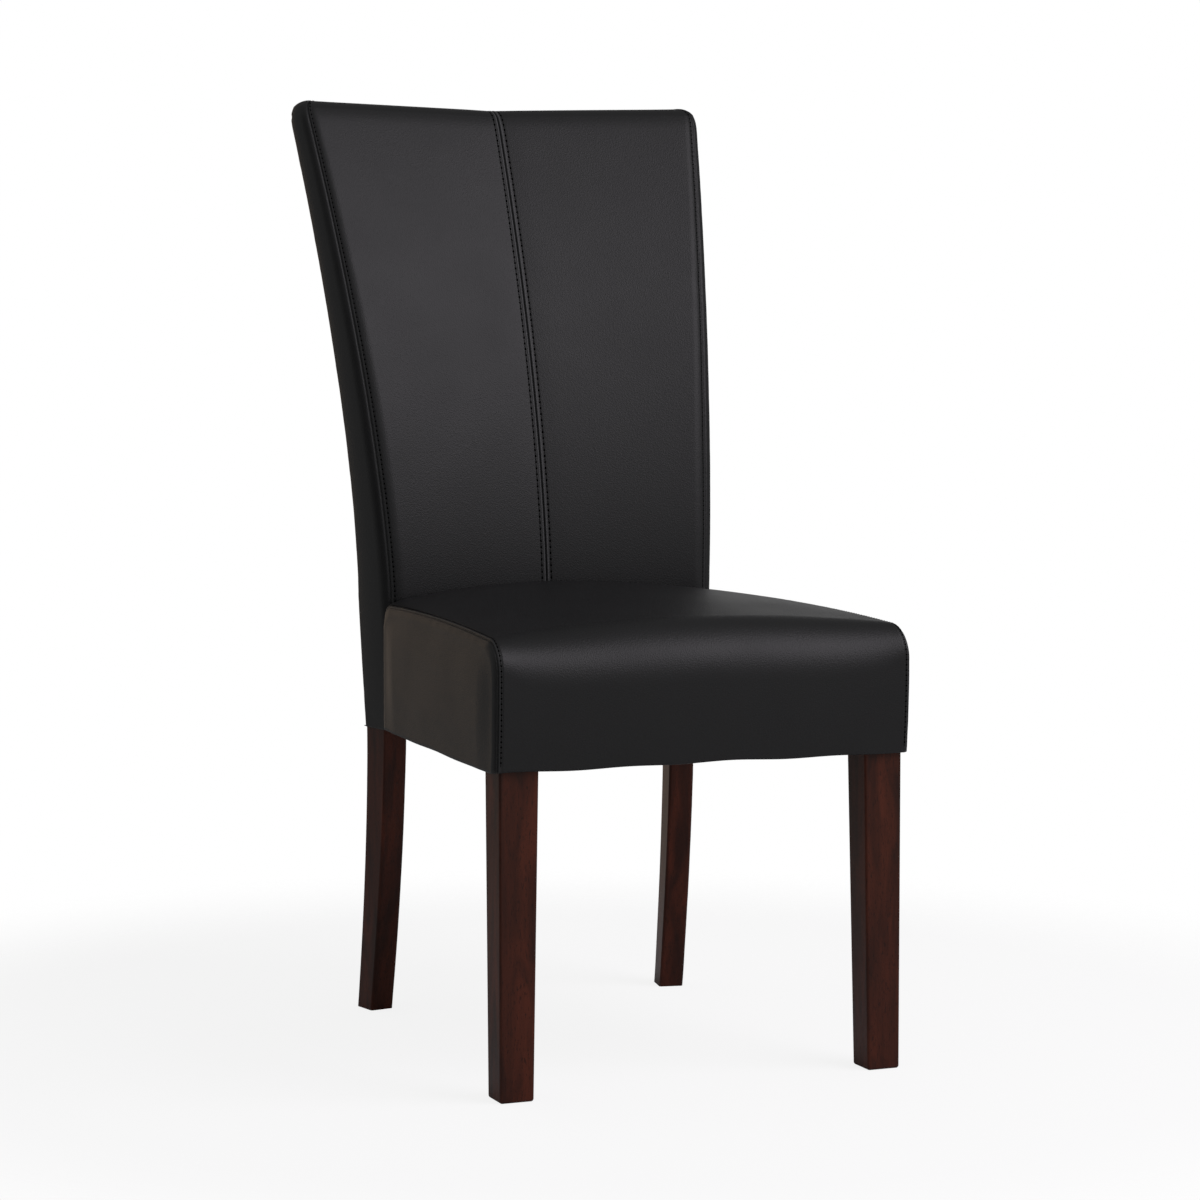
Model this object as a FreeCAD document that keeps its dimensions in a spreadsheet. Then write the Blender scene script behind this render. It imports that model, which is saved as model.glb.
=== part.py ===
"""High-backed upholstered dining chair: a wooden frame, foam, and a sewn cover over seat and back.

Millimetres, +Z up, -Y is the front. The origin lies on the floor under the middle of the chair.
Left and right are named as they are seen from the front, so left is -X.
The back is a barrel: at each height its front and rear faces are arcs about one centre in front of it.
"""
import FreeCAD
import Part
import Sketcher
import math
import os
import re

NODE_FOLDER = "parts"
Vector = FreeCAD.Vector
UP = Vector(0, 0, 1)
SIDES = {"left": -1, "right": 1}

SIZES = {
    # the whole chair
    "overall_depth": 653,
    "seat_base": 338,
    "back_drop": 8,
    "back_top": 1037.5,
    # front legs, square and tapered on their inner faces
    "front_leg_span": 453,
    "front_leg_setback": 9.5,
    "front_leg_top": 43,
    "front_leg_foot": 37,
    "arris_radius": 3,
    # rear legs, which go on as the posts of the back
    "rear_leg_width": 29.2,
    "rear_foot_width": 28.3,
    "rear_foot_depth": 34,
    "rear_kick_back": 42,
    "rear_kick_out": 3.7,
    "post_top_drop": 37.5,
    "post_top_gap": 24,
    "post_side_gap": 2.2,
    # seat box
    "rail_lift": 2,
    "rail_height": 68,
    "rail_thickness": 22,
    "rail_setback": 3.5,
    "side_rail_rear_span": 406,
    "rear_rail_span": 370,
    "block_reach": 30,
    "block_height": 56,
    "strap_width": 50,
    "strap_thickness": 1.8,
    "strap_margin": 5,
    # seat cushion
    "seat_rear_span": 424,
    "cushion_height": 141,
    "seat_crown": 15,
    "seat_front_drop": 6,
    "seat_rear_drop": 2,
    "seat_front_radius": 31,
    "seat_edge_radius": 9,
    "seat_corner_radius": 26,
    "seat_puff": 4,
    "seat_back_gap": 1.6,
    # curved back
    "barrel_angle": 11,
    "seat_depth": 437,
    "seat_margin": 1,
    "back_base_half": 187.2,
    "back_seat_half": 194.6,
    "back_top_half": 240.5,
    "back_base_depth": 82,
    "back_seat_depth": 77,
    "back_top_reach": 61.5,
    "top_front_radius": 34,
    "top_rear_radius": 18,
    "top_side_radius": 12,
    "top_dish": 5.5,
    "side_edge_radius": 6,
    # boards inside the back
    "lower_rail_height": 92,
    "lower_rail_thickness": 31,
    "middle_rail_rise": 241,
    "middle_rail_height": 50,
    "top_rail_drop": 38,
    "top_rail_height": 60,
    "back_rail_thickness": 16,
    "inner_panel_thickness": 3,
    "outer_panel_thickness": 2,
    "panel_gap": 0.9,
    # covers
    "cover_thickness": 1.2,
    "soft_gap": 0.3,
    "lining_thickness": 0.8,
    "side_seam_inset": 3,
    # fasteners
    "bolt_diameter": 8,
    "washer_diameter": 22,
    "washer_thickness": 1.6,
    "nut_width": 13,
    "nut_height": 6.5,
    "leg_bolt_length": 50,
    "bolt_spare": 3,
    "back_bolt_spacing": 240,
    "bolt_head_diameter": 13,
    "bolt_head_height": 5,
    "block_lift": 6,
    "screw_diameter": 4,
    "screw_head": 8,
    "screw_head_height": 2.5,
    "screw_point": 4,
    "screw_seat": 8,
    "block_screw_length": 28,
    "post_screw_length": 54,
    "post_screw_sink": 3,
    "dowel_diameter": 8,
    "dowel_length": 36,
    "dowel_spacing": 26,
    "hole_clearance": 0.2,
    "staple_crown": 11,
    "staple_leg": 8,
    "staple_wire": 1,
}

# sizes that follow from the ones above
FOLLOWING = {
    "back_base": "seat_base - back_drop",
    "seat_edge_height": "seat_base + cushion_height",
    "seat_level": "seat_edge_height + seat_margin",
    "back_lean": "overall_depth - seat_depth - back_top_reach",
    "post_top": "back_top - post_top_drop",
    "middle_rail_level": "seat_edge_height + middle_rail_rise",
    "top_rail_level": "post_top - top_rail_drop",
}

STRAPS_EACH_WAY = 3
STAPLES_PER_RAIL = 5
LEG_BOLT_SHARES = (0.26, 0.74)
BACK_BOLT_SHARES = (0.3, 0.7)
POST_SCREW_SHARES = (0.3, 0.75)
BACK_STEPS = 12
TOP_ROUND_TURNS = (0, 17, 34, 51, 68, 83)
POST_LEG_STEPS = 6
SEAT_EDGE_TURNS = (0, 35, 60, 80)
LEAN_POWER = 1.6
FLARE_POWER = 1.3

doc = FreeCAD.newDocument("upholstered_chair")
sheet = doc.addObject("Spreadsheet::Sheet", "sizes")
formulas = {alias: "=" + formula for alias, formula in FOLLOWING.items()}
contents = {**SIZES, **formulas}
for row, (alias, content) in enumerate(contents.items(), start=1):
    sheet.set(f"A{row}", alias)
    sheet.set(f"B{row}", str(content))
    sheet.setAlias(f"B{row}", alias)
doc.recompute()

nodes = {}


def size(expression):
    """Value of an expression in the sheet's aliases, in millimetres or degrees."""
    return float(sheet.evalExpression(expression))


def bound(expression):
    """The same expression as it is written on an object outside the sheet."""
    return re.sub(r"[a-z_]+", lambda word: ("sizes." if word[0] in contents else "") + word[0], expression)


def keep(label, item):
    """Name an object as a sub-part; its label names its file."""
    item.Label = label
    nodes[label] = item
    return item


def feature(label, shape):
    """An object that holds a shape worked out from the sheet's values."""
    item = doc.addObject("Part::Feature", label)
    item.Shape = shape
    return item


# Frames of reference

BACK_FACE = size("- overall_depth / 2 + seat_depth")
BARREL = math.radians(size("barrel_angle"))
TOP_CENTRE = size("overall_depth / 2 - top_rear_radius")
TOP_DEPTH_FRONT = math.sqrt(size("2 * top_front_radius * top_rear_radius - top_rear_radius ^ 2"))
TOP_START = size("back_top - top_rear_radius")


def climb(level):
    """Share of the way from the seat to the top of the back, 0 below the seat."""
    return max(0.0, (level - size("seat_level")) / size("back_top - seat_level"))


def back_half_width(level):
    """Half the width of the back's front face."""
    below = min(1.0, (level - size("back_base")) / size("seat_level - back_base"))
    low = size("back_base_half") + (size("back_seat_half - back_base_half")) * below
    return low + size("back_top_half - back_seat_half") * climb(level) ** FLARE_POWER


def back_front(level):
    """Y of the back's front face at its side edges."""
    return BACK_FACE + size("back_lean") * climb(level) ** LEAN_POWER


def back_depth(level):
    """Thickness of the back, cover to cover."""
    if level <= size("seat_level"):
        share = (level - size("back_base")) / size("seat_level - back_base")
        return size("back_base_depth") + size("back_seat_depth - back_base_depth") * share
    share = (level - size("seat_level")) / (TOP_START - size("seat_level"))
    top_depth = TOP_DEPTH_FRONT + size("top_rear_radius")
    return size("back_seat_depth") + (top_depth - size("back_seat_depth")) * share


class Station:
    """One level of the back: its arcs' centre, the radii of its faces and its half width."""

    def __init__(self, level, half_width, front, depth, lift=0.0):
        self.level = level
        self.radius = half_width / math.sin(BARREL)
        self.centre = front - self.radius * math.cos(BARREL)
        self.depth = depth
        self.lift = lift

    def point(self, radius, angle, side=1):
        """Point at a radius and an angle from the middle, on one side."""
        across = radius * math.sin(angle)
        rise = self.lift * across / (self.radius * math.sin(BARREL))
        return Vector(side * across, self.centre + radius * math.cos(angle), self.level + rise)


def edge_lift(level):
    """How far the side edges are raised above the middle; it grows to the dish of the top."""
    return size("top_dish") * (level - size("back_base")) / (TOP_START - size("back_base"))


def back_station(level):
    return Station(level, back_half_width(level), back_front(level), back_depth(level), edge_lift(level))


def top_station(turn, front_inset, rear_inset, top_inset):
    """A level in the rounded top, reached after a turn in degrees from upright."""
    rear_radius = size("top_rear_radius") - rear_inset
    front_radius = size("top_front_radius") - front_inset
    drop = rear_radius * (1 - math.sin(math.radians(turn)))
    ahead = math.sqrt(2 * front_radius * drop - drop ** 2)
    behind = rear_radius * math.cos(math.radians(turn))
    level = size("back_top") - top_inset - drop
    side_radius = size("top_side_radius")
    side_drop = max(0.0, side_radius - drop)
    side_inset = side_radius - math.sqrt(side_radius ** 2 - side_drop ** 2)
    half = back_half_width(level) - side_inset
    sagitta = half * math.tan(BARREL / 2)
    front = TOP_CENTRE - ahead - sagitta
    station = Station(level, half, front, ahead + behind, size("top_dish"))
    return station


def even_levels(bottom, top):
    """Evenly spaced levels, which keep a loft through them smooth."""
    step = (top - bottom) / BACK_STEPS
    return [bottom + step * count for count in range(BACK_STEPS + 1)]


def slab(low, high):
    """Everything between two levels."""
    reach = size("overall_depth")
    return Part.makeBox(2 * reach, 2 * reach, high - low, Vector(-reach, -reach, low))


def barrel_wire(station, front_inset, rear_inset, side_inset, edge_radius, side, middle=0.0):
    """Closed outline of half the back at a station, from the middle to one side."""
    near = station.radius + front_inset
    far = station.radius + station.depth - rear_inset
    edge = BARREL - side_inset / near
    soft = min(edge_radius, 0.3 * (far - near))
    start = -middle / near
    corners = []
    for radius, inward in ((near, 1), (far, -1)):
        along = station.point(radius, edge - soft / radius, side)
        down = station.point(radius + inward * soft, edge, side)
        bend = soft * (1 - math.sqrt(0.5))
        middle_point = station.point(radius + inward * bend, edge - bend / radius, side)
        corners.append((along, middle_point, down))
    (front_end, front_bend, side_start), (rear_end, rear_bend, side_end) = corners
    front_start = station.point(near, start, side)
    rear_start = station.point(far, start, side)
    front_middle = station.point(near, (start + edge - soft / near) / 2, side)
    rear_middle = station.point(far, (start + edge - soft / far) / 2, side)
    return Part.Wire([
        Part.Arc(front_start, front_middle, front_end).toShape(),
        Part.Arc(front_end, front_bend, side_start).toShape(),
        Part.makeLine(side_start, side_end),
        Part.Arc(side_end, rear_bend, rear_end).toShape(),
        Part.Arc(rear_end, rear_middle, rear_start).toShape(),
        Part.makeLine(rear_start, front_start),
    ])


def back_form(side, bottom, inset, middle=0.0):
    """Half of the upholstered back as a closed solid, drawn in by an inset on every side."""
    edge = max(1.0, size("side_edge_radius") - inset)
    body = []
    for level in [bottom] + BACK_LEVELS[1:-1]:
        body.append(barrel_wire(back_station(level), inset, inset, inset, edge, side, middle))
    crown = []
    for turn in TOP_ROUND_TURNS:
        station = top_station(turn, inset, inset, inset)
        crown.append(barrel_wire(station, 0, 0, inset, edge, side, middle))
    lower = Part.makeLoft(body + crown[:1], True, False)
    return lower.fuse(Part.makeLoft(crown, True, False))


BACK_LEVELS = even_levels(size("back_base"), TOP_START)


# Frames of the seat box, as expressions in the sheet's aliases

LEG_OUT = "(front_leg_span / 2)"
LEG_IN = "(front_leg_span / 2 - front_leg_top)"
LEG_FACE = "(- overall_depth / 2 + front_leg_setback)"
LEG_REAR = "(- overall_depth / 2 + front_leg_setback + front_leg_top)"
RAIL_BASE = "(seat_base + rail_lift)"
RAIL_TOP = "(seat_base + rail_lift + rail_height)"
SIDE_END = "(- overall_depth / 2 + seat_depth - rail_setback - rail_thickness / 2)"
BARREL_RADIUS = "(back_base_half / sin(barrel_angle))"
BARREL_CENTRE = "(- overall_depth / 2 + seat_depth - back_base_half / tan(barrel_angle))"
FOAM_BASE = RAIL_TOP + " + 2 * strap_thickness + soft_gap"
POST_GAP = "(rail_setback + lower_rail_thickness)"
REAR_LAYERS = "(cover_thickness + soft_gap + outer_panel_thickness + panel_gap)"


def side_rail_out(depth):
    """Outer face of a side rail, from the middle of the chair, at a place along it."""
    inward = f"(front_leg_span - side_rail_rear_span) / 2 * ({depth} - {LEG_REAR}) / ({SIDE_END} - {LEG_REAR})"
    return f"({LEG_OUT} - {inward})"


def side_rail_in(depth):
    return f"({side_rail_out(depth)} - rail_thickness)"


# Sketches and bodies

def sketch_on(body, role, label, place=None):
    """An empty sketch on one of the body's own planes."""
    sketch = body.newObject("Sketcher::SketchObject", label)
    plane = next(item for item in body.Origin.OriginFeatures if item.Role == role)
    sketch.AttachmentSupport = (plane, [""])
    sketch.MapMode = "FlatFace"
    if place:
        sketch.AttachmentOffset = place
    return sketch


def hold(sketch, constraint, name, expression):
    """Add a dimension that follows an expression in the sheet's aliases."""
    index = sketch.addConstraint(constraint)
    sketch.renameConstraint(index, name)
    if isinstance(expression, str):
        sketch.setExpression("Constraints." + name, bound(expression))


def draw_polygon(sketch, corners):
    """Closed outline whose corners are pairs of expressions or numbers."""
    places = [tuple(size(item) if isinstance(item, str) else item for item in corner) for corner in corners]
    count = len(places)
    for index, (across, along) in enumerate(places):
        far = places[(index + 1) % count]
        sketch.addGeometry(Part.LineSegment(Vector(across, along, 0), Vector(far[0], far[1], 0)), False)
    for index in range(count):
        sketch.addConstraint(Sketcher.Constraint("Coincident", index, 2, (index + 1) % count, 1))
    for index, (corner, place) in enumerate(zip(corners, places)):
        for letter, kind, axis, expression, number in (
            ("x", "DistanceX", -2, corner[0], place[0]),
            ("y", "DistanceY", -1, corner[1], place[1]),
        ):
            if expression == "0":
                sketch.addConstraint(Sketcher.Constraint("PointOnObject", index, 1, axis))
                continue
            constraint = Sketcher.Constraint(kind, -1, 1, index, 1, number)
            hold(sketch, constraint, f"{letter}{index}", expression)


def draw_rounded_rectangle(sketch, low, high, radius):
    """Rectangle between two corners given as numbers, with its own corners rounded."""
    bend = size(radius)
    inner = (low[0] + bend, low[1] + bend), (high[0] - bend, high[1] - bend)
    centres = [(inner[0][0], inner[0][1]), (inner[1][0], inner[0][1]), (inner[1][0], inner[1][1]),
               (inner[0][0], inner[1][1])]
    for index, centre in enumerate(centres):
        middle = Vector(*centre, 0)
        start = math.pi + index * math.pi / 2
        circle = Part.Circle(middle, UP, bend)
        sketch.addGeometry(Part.ArcOfCircle(circle, start, start + math.pi / 2), False)
    for index, centre in enumerate(centres):
        turn = math.pi * 1.5 + index * math.pi / 2
        outward = Vector(math.cos(turn), math.sin(turn), 0) * bend
        far = centres[(index + 1) % 4]
        sketch.addGeometry(Part.LineSegment(Vector(*centre, 0) + outward, Vector(*far, 0) + outward), False)
    for index, centre in enumerate(centres):
        sketch.addConstraint(Sketcher.Constraint("Tangent", index, 2, index + 4, 1))
        sketch.addConstraint(Sketcher.Constraint("Tangent", index + 4, 2, (index + 1) % 4, 1))
        hold(sketch, Sketcher.Constraint("DistanceX", -1, 1, index, 3, centre[0]), f"x{index}", None)
        hold(sketch, Sketcher.Constraint("DistanceY", -1, 1, index, 3, centre[1]), f"y{index}", None)
        hold(sketch, Sketcher.Constraint("Radius", index, bend), f"radius{index}", radius)


def draw_sector(sketch, centre, near, far, half_length):
    """Stretch of a ring about a point on the Y axis, with radial ends."""
    middle = Vector(0, size(centre), 0)
    spread = math.asin(size(half_length) / size(near))
    ends = (math.pi / 2 - spread, math.pi / 2 + spread)
    places = {}
    for radius in (near, far):
        circle = Part.Circle(middle, UP, size(radius))
        sketch.addGeometry(Part.ArcOfCircle(circle, *ends), False)
        places[radius] = [middle + Vector(math.cos(end), math.sin(end), 0) * size(radius) for end in ends]
    sketch.addGeometry(Part.LineSegment(places[near][0], places[far][0]), False)
    sketch.addGeometry(Part.LineSegment(places[far][1], places[near][1]), False)
    for joint in ((0, 1, 2, 1), (2, 2, 1, 1), (1, 2, 3, 1), (3, 2, 0, 2), (0, 3, 1, 3)):
        sketch.addConstraint(Sketcher.Constraint("Coincident", *joint))
    for line in (-2, 2, 3):
        sketch.addConstraint(Sketcher.Constraint("PointOnObject", 0, 3, line))
    hold(sketch, Sketcher.Constraint("DistanceY", -1, 1, 0, 3, middle.y), "centre", centre)
    hold(sketch, Sketcher.Constraint("Radius", 0, size(near)), "near", near)
    hold(sketch, Sketcher.Constraint("Radius", 1, size(far)), "far", far)
    hold(sketch, Sketcher.Constraint("DistanceX", -1, 1, 0, 1, size(half_length)), "right", half_length)
    hold(sketch, Sketcher.Constraint("DistanceX", -1, 1, 0, 2, -size(half_length)), "left", "- " + half_length)


def new_body(label):
    return doc.addObject("PartDesign::Body", label)


def raise_to(item, level):
    """Set an object's height by an expression."""
    item.setExpression("Placement.Base.z", bound(level))


def pad(body, sketch, length, both_ways=False):
    """Thicken a sketch along its normal."""
    solid = body.newObject("PartDesign::Pad", "thickness")
    solid.Profile = sketch
    solid.setExpression("Length", bound(length))
    if both_ways:
        solid.SideType = "Symmetric"
    return body


def prism(label, corners, base, height):
    """Upright prism over a polygon in plan."""
    body = new_body(label)
    sketch = sketch_on(body, "XY_Plane", "plan")
    draw_polygon(sketch, corners)
    pad(body, sketch, height)
    raise_to(body, base)
    return body


def turned(label, profile):
    """Body turned about the Z axis from a profile of radius and height pairs."""
    body = new_body(label)
    sketch = sketch_on(body, "XZ_Plane", "profile")
    draw_polygon(sketch, profile)
    turn = body.newObject("PartDesign::Revolution", "turn")
    turn.Profile = sketch
    turn.ReferenceAxis = (sketch, ["V_Axis"])
    turn.Angle = 360
    return body


def trim(label, base, *tools):
    """A piece with the room for other pieces cut out of it, one after another."""
    result = base
    for tool in tools:
        cut = doc.addObject("Part::Cut", label if tool is tools[-1] else label + "_blank")
        cut.Base = result
        cut.Tool = tool
        result = cut
    return result


def mirrored(corners, side):
    """A polygon's corners on one side of the chair."""
    return [(f"{side} * ({across})", along) for across, along in corners]


# Front legs

def front_leg(label, side):
    """Square leg, upright on its outer faces and tapered on the inner ones up to the seat."""
    body = new_body(label)
    sections = []
    for name, width, level in (("foot", "front_leg_foot", "0"), ("knee", "front_leg_top", "seat_base")):
        sketch = sketch_on(body, "XY_Plane", name)
        sketch.setExpression("AttachmentOffset.Base.z", bound(level))
        draw_polygon(sketch, mirrored([
            (LEG_OUT, LEG_FACE),
            (LEG_OUT, f"{LEG_FACE} + {width}"),
            (f"{LEG_OUT} - {width}", f"{LEG_FACE} + {width}"),
            (f"{LEG_OUT} - {width}", LEG_FACE),
        ], side))
        sections.append(sketch)
    taper = body.newObject("PartDesign::AdditiveLoft", "taper")
    taper.Profile = sections[0]
    taper.Sections = sections[1:]
    taper.Ruled = True
    head = body.newObject("PartDesign::Pad", "head")
    head.Profile = sections[1]
    head.setExpression("Length", bound("rail_lift + rail_height"))
    doc.recompute()
    round_arrises(body, head)
    return body


def round_arrises(body, base):
    """Round the long edges and the foot's edges of a leg."""
    chosen = []
    for index, edge in enumerate(base.Shape.Edges, start=1):
        upright = abs(edge.Vertexes[0].Z - edge.Vertexes[-1].Z) > size("rail_height") / 2
        at_foot = edge.BoundBox.ZMax < size("arris_radius")
        if upright or at_foot:
            chosen.append(f"Edge{index}")
    rounding = body.newObject("PartDesign::Fillet", "arrises")
    rounding.Base = (base, chosen)
    rounding.setExpression("Radius", bound("arris_radius"))


# Rear legs and posts

def post_gap(level):
    """Room in front of the posts, from the face of the back's cover."""
    return size(POST_GAP) + (size("post_top_gap") - size(POST_GAP)) * climb(level)


def post_section(level):
    """Outer front corner, width and depth of a post at a level, on the right-hand side."""
    knee = size("back_base")
    station = back_station(max(level - edge_lift(level), knee))
    near = station.radius + post_gap(level)
    far = station.radius + station.depth - size(REAR_LAYERS)
    corner = station.point(near, BARREL - size("post_side_gap") / near)
    width = size("rear_leg_width")
    depth = far - near
    if level < knee:
        share = 1 - level / knee
        corner += Vector(size("rear_kick_out"), size("rear_kick_back"), 0) * share ** LEAN_POWER
        width += size("rear_foot_width - rear_leg_width") * share
        depth += (size("rear_foot_depth") - depth) * share
        corner.z = level
    return corner, width, depth


def post_levels():
    """Levels of a post's sections: even over the leg, and the back's own levels above it."""
    leg_step = size("back_base") / POST_LEG_STEPS
    leg = [leg_step * count for count in range(POST_LEG_STEPS)]
    return leg + BACK_LEVELS[:-1] + [size("post_top")]


def rear_post(label, side):
    """Rear leg that sweeps forward to the seat and goes on up the side of the back."""
    body = new_body(label)
    sections = []
    turn = FreeCAD.Rotation(UP, -side * size("barrel_angle"))
    for count, level in enumerate(post_levels()):
        corner, width, depth = post_section(level)
        place = FreeCAD.Placement(Vector(side * corner.x, corner.y, level), turn)
        sketch = sketch_on(body, "XY_Plane", f"section_{count}", place)
        low, high = sorted((0.0, -side * width))
        draw_rounded_rectangle(sketch, (low, 0.0), (high, depth), "arris_radius")
        sections.append(sketch)
    sweep = body.newObject("PartDesign::AdditiveLoft", "sweep")
    sweep.Profile = sections[0]
    sweep.Sections = sections[1:]
    return body


# Boards of the seat box

def front_rail():
    return prism("front_rail_board", [
        ("- " + LEG_IN, LEG_FACE),
        (LEG_IN, LEG_FACE),
        (LEG_IN, f"{LEG_FACE} + rail_thickness"),
        ("- " + LEG_IN, f"{LEG_FACE} + rail_thickness"),
    ], RAIL_BASE, "rail_height")


def side_rail(side):
    return prism("side_rail_board", mirrored([
        (side_rail_out(LEG_REAR), LEG_REAR),
        (side_rail_out(SIDE_END), SIDE_END),
        (side_rail_in(SIDE_END), SIDE_END),
        (side_rail_in(LEG_REAR), LEG_REAR),
    ], side), RAIL_BASE, "rail_height")


def rear_rail():
    """Curved board that follows the front of the back."""
    body = new_body("rear_rail_board")
    sketch = sketch_on(body, "XY_Plane", "plan")
    far = f"({BARREL_RADIUS} - rail_setback)"
    draw_sector(sketch, BARREL_CENTRE, f"({far} - rail_thickness)", far, "(rear_rail_span / 2)")
    pad(body, sketch, "rail_height")
    raise_to(body, RAIL_BASE)
    return body


def front_block_corners(side):
    """Block in a front corner: it fills the corner round the leg and has one slanted face."""
    reach = f"({LEG_REAR} + block_reach)"
    return mirrored([
        (LEG_IN, f"({LEG_FACE} + rail_thickness)"),
        (f"({LEG_IN} - block_reach)", f"({LEG_FACE} + rail_thickness)"),
        (side_rail_in(reach), reach),
        (side_rail_in(LEG_REAR), LEG_REAR),
        (LEG_IN, LEG_REAR),
    ], side)


def rear_block_corners(side):
    """Block in a rear corner, long enough to be coped to the curved rail."""
    start = f"({SIDE_END} - rail_thickness / 2 - block_reach)"
    return mirrored([
        (side_rail_in(start), start),
        (side_rail_in(SIDE_END), SIDE_END),
        (f"({side_rail_in(SIDE_END)} - block_reach)", SIDE_END),
        (f"({side_rail_in(SIDE_END)} - block_reach)", f"({SIDE_END} - rail_thickness / 2)"),
    ], side)


# Boards of the back

def lower_rail():
    """Thick curved board in front of the posts, which the seat box is bolted to."""
    body = new_body("lower_rail_board")
    sketch = sketch_on(body, "XY_Plane", "plan")
    near = f"({BARREL_RADIUS} + rail_setback)"
    far = f"({near} + lower_rail_thickness)"
    draw_sector(sketch, BARREL_CENTRE, near, far, "(back_base_half - rail_setback)")
    pad(body, sketch, "lower_rail_height")
    raise_to(body, "back_base + lining_thickness + soft_gap")
    return body


def slope_angle(level):
    """Lean of the back in degrees from upright at a level."""
    step = 1.0
    return math.degrees(math.atan((back_front(level + step) - back_front(level - step)) / (2 * step)))


def leaning_rail(label, level_name, height):
    """Curved board between the posts, square to the lean of the back."""
    level = size(level_name)
    station = back_station(level)
    corner, width, depth = post_section(level)
    near = station.radius + post_gap(level) + (depth - size("back_rail_thickness")) / 2
    body = new_body(label)
    sketch = sketch_on(body, "XY_Plane", "plan")
    half_length = corner.x - width / 2
    draw_sector(sketch, f"- {near}", str(near), f"({near} + back_rail_thickness)", str(half_length))
    pad(body, sketch, height, both_ways=True)
    turn = FreeCAD.Rotation(Vector(1, 0, 0), -slope_angle(level))
    body.Placement = FreeCAD.Placement(Vector(0, station.centre + near, level), turn)
    return body


def barrel_sheet(side, levels, near, far, side_inset, middle=0.0):
    """Half of a curved layer inside the back; its faces are functions of the level."""
    wires = []
    for level in levels:
        station = back_station(level)
        edge = BARREL - side_inset / station.radius
        start = -middle / station.radius
        corners = [station.point(station.radius + radius(level), angle, side)
                   for radius, angle in ((near, start), (near, edge), (far, edge), (far, start))]
        half = (start + edge) / 2
        inner = station.point(station.radius + near(level), half, side)
        outer = station.point(station.radius + far(level), half, side)
        wires.append(Part.Wire([
            Part.Arc(corners[0], inner, corners[1]).toShape(),
            Part.makeLine(corners[1], corners[2]),
            Part.Arc(corners[2], outer, corners[3]).toShape(),
            Part.makeLine(corners[3], corners[0]),
        ]))
    return Part.makeLoft(wires, True, False)


def both_halves(make_half):
    """A layer over the whole width from its two halves."""
    return make_half(-1).fuse(make_half(1)).removeSplitter()


LOWER_RAIL_TOP = size("back_base + lining_thickness + soft_gap + lower_rail_height")
SKIN = size("cover_thickness + soft_gap")


def inner_panel():
    """Thin bent board on the front of the posts, under the foam."""
    gap = size("panel_gap")
    sheet_halves = both_halves(lambda side: barrel_sheet(
        side, BACK_LEVELS,
        lambda level: post_gap(level) - size("inner_panel_thickness") - gap,
        lambda level: post_gap(level) - gap,
        size("post_side_gap"),
    ))
    return sheet_halves.common(slab(LOWER_RAIL_TOP + size("soft_gap"), size("post_top")))


def outer_panel():
    """Thin bent board on the rear of the posts, under the rear cover."""
    sheet_halves = both_halves(lambda side: barrel_sheet(
        side, BACK_LEVELS,
        lambda level: back_depth(level) - SKIN - size("outer_panel_thickness"),
        lambda level: back_depth(level) - SKIN,
        size("side_edge_radius"),
    ))
    return sheet_halves.common(slab(size("back_base + lining_thickness + soft_gap"), size("post_top")))


def back_foam():
    """Foam over the inner panel and the top of the frame."""
    gap = size("soft_gap")
    margin = size("post_side_gap")

    def half(side):
        form = back_form(side, size("back_base"), SKIN).cut(slab(0, LOWER_RAIL_TOP + gap))
        frame = barrel_sheet(
            side, BACK_LEVELS,
            lambda level: post_gap(level) - size("inner_panel_thickness + panel_gap") - gap,
            lambda level: back_depth(level) + margin,
            -margin, margin,
        )
        return form.cut(frame.common(slab(0, size("post_top") + gap)))

    return both_halves(half)


# Covers of the back

def back_shell(side):
    """Half of the back's sewn cover, open at the bottom."""
    thickness = size("cover_thickness")
    outer = back_form(side, size("back_base"), 0)
    inner = back_form(side, size("back_base") - thickness, thickness, thickness)
    return outer.cut(inner)


def side_band(side, seam):
    """Region of the boxed side: everything outside the two long seams."""
    wires = []
    margin = size("top_front_radius")
    for level in even_levels(size("back_base") - margin, size("back_top") + margin):
        station = back_station(max(level, size("back_base")))
        station.level = level
        corners = [station.point(station.radius + radius, BARREL + angle / station.radius, side)
                   for radius, angle in ((-margin, -seam), (-margin, margin),
                                         (station.depth + margin, margin), (station.depth + margin, -seam))]
        wires.append(Part.makePolygon(corners + corners[:1]))
    return Part.makeLoft(wires, True, False)


def rear_band(side):
    """Region of the rear panel: the rear half of the back's depth below the top seam."""
    margin = size("top_front_radius")
    wires = []
    for level in even_levels(size("back_base") - margin, TOP_START):
        station = back_station(max(level, size("back_base")))
        station.level = level
        middle = station.radius + station.depth / 2
        far = station.radius + station.depth + margin
        corners = [station.point(radius, angle, side) for radius, angle in (
            (middle, 0), (middle, BARREL + margin / far), (far, BARREL + margin / far), (far, 0))]
        wires.append(Part.makePolygon(corners + corners[:1]))
    return Part.makeLoft(wires, True, False)


def back_covers():
    """Front, side and rear panels of the back's cover, by name."""
    panels = {}
    rear_halves = []
    for name, side in SIDES.items():
        shell = back_shell(side)
        band = side_band(side, size("side_seam_inset"))
        behind = rear_band(side)
        panels["back_cover_side_" + name] = shell.common(band)
        rest = shell.cut(band)
        panels["back_cover_front_" + name] = rest.cut(behind)
        rear_halves.append(rest.common(behind))
    panels["back_cover_rear"] = rear_halves[0].fuse(rear_halves[1]).removeSplitter()
    return panels


# Seat cushion and its cover

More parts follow.
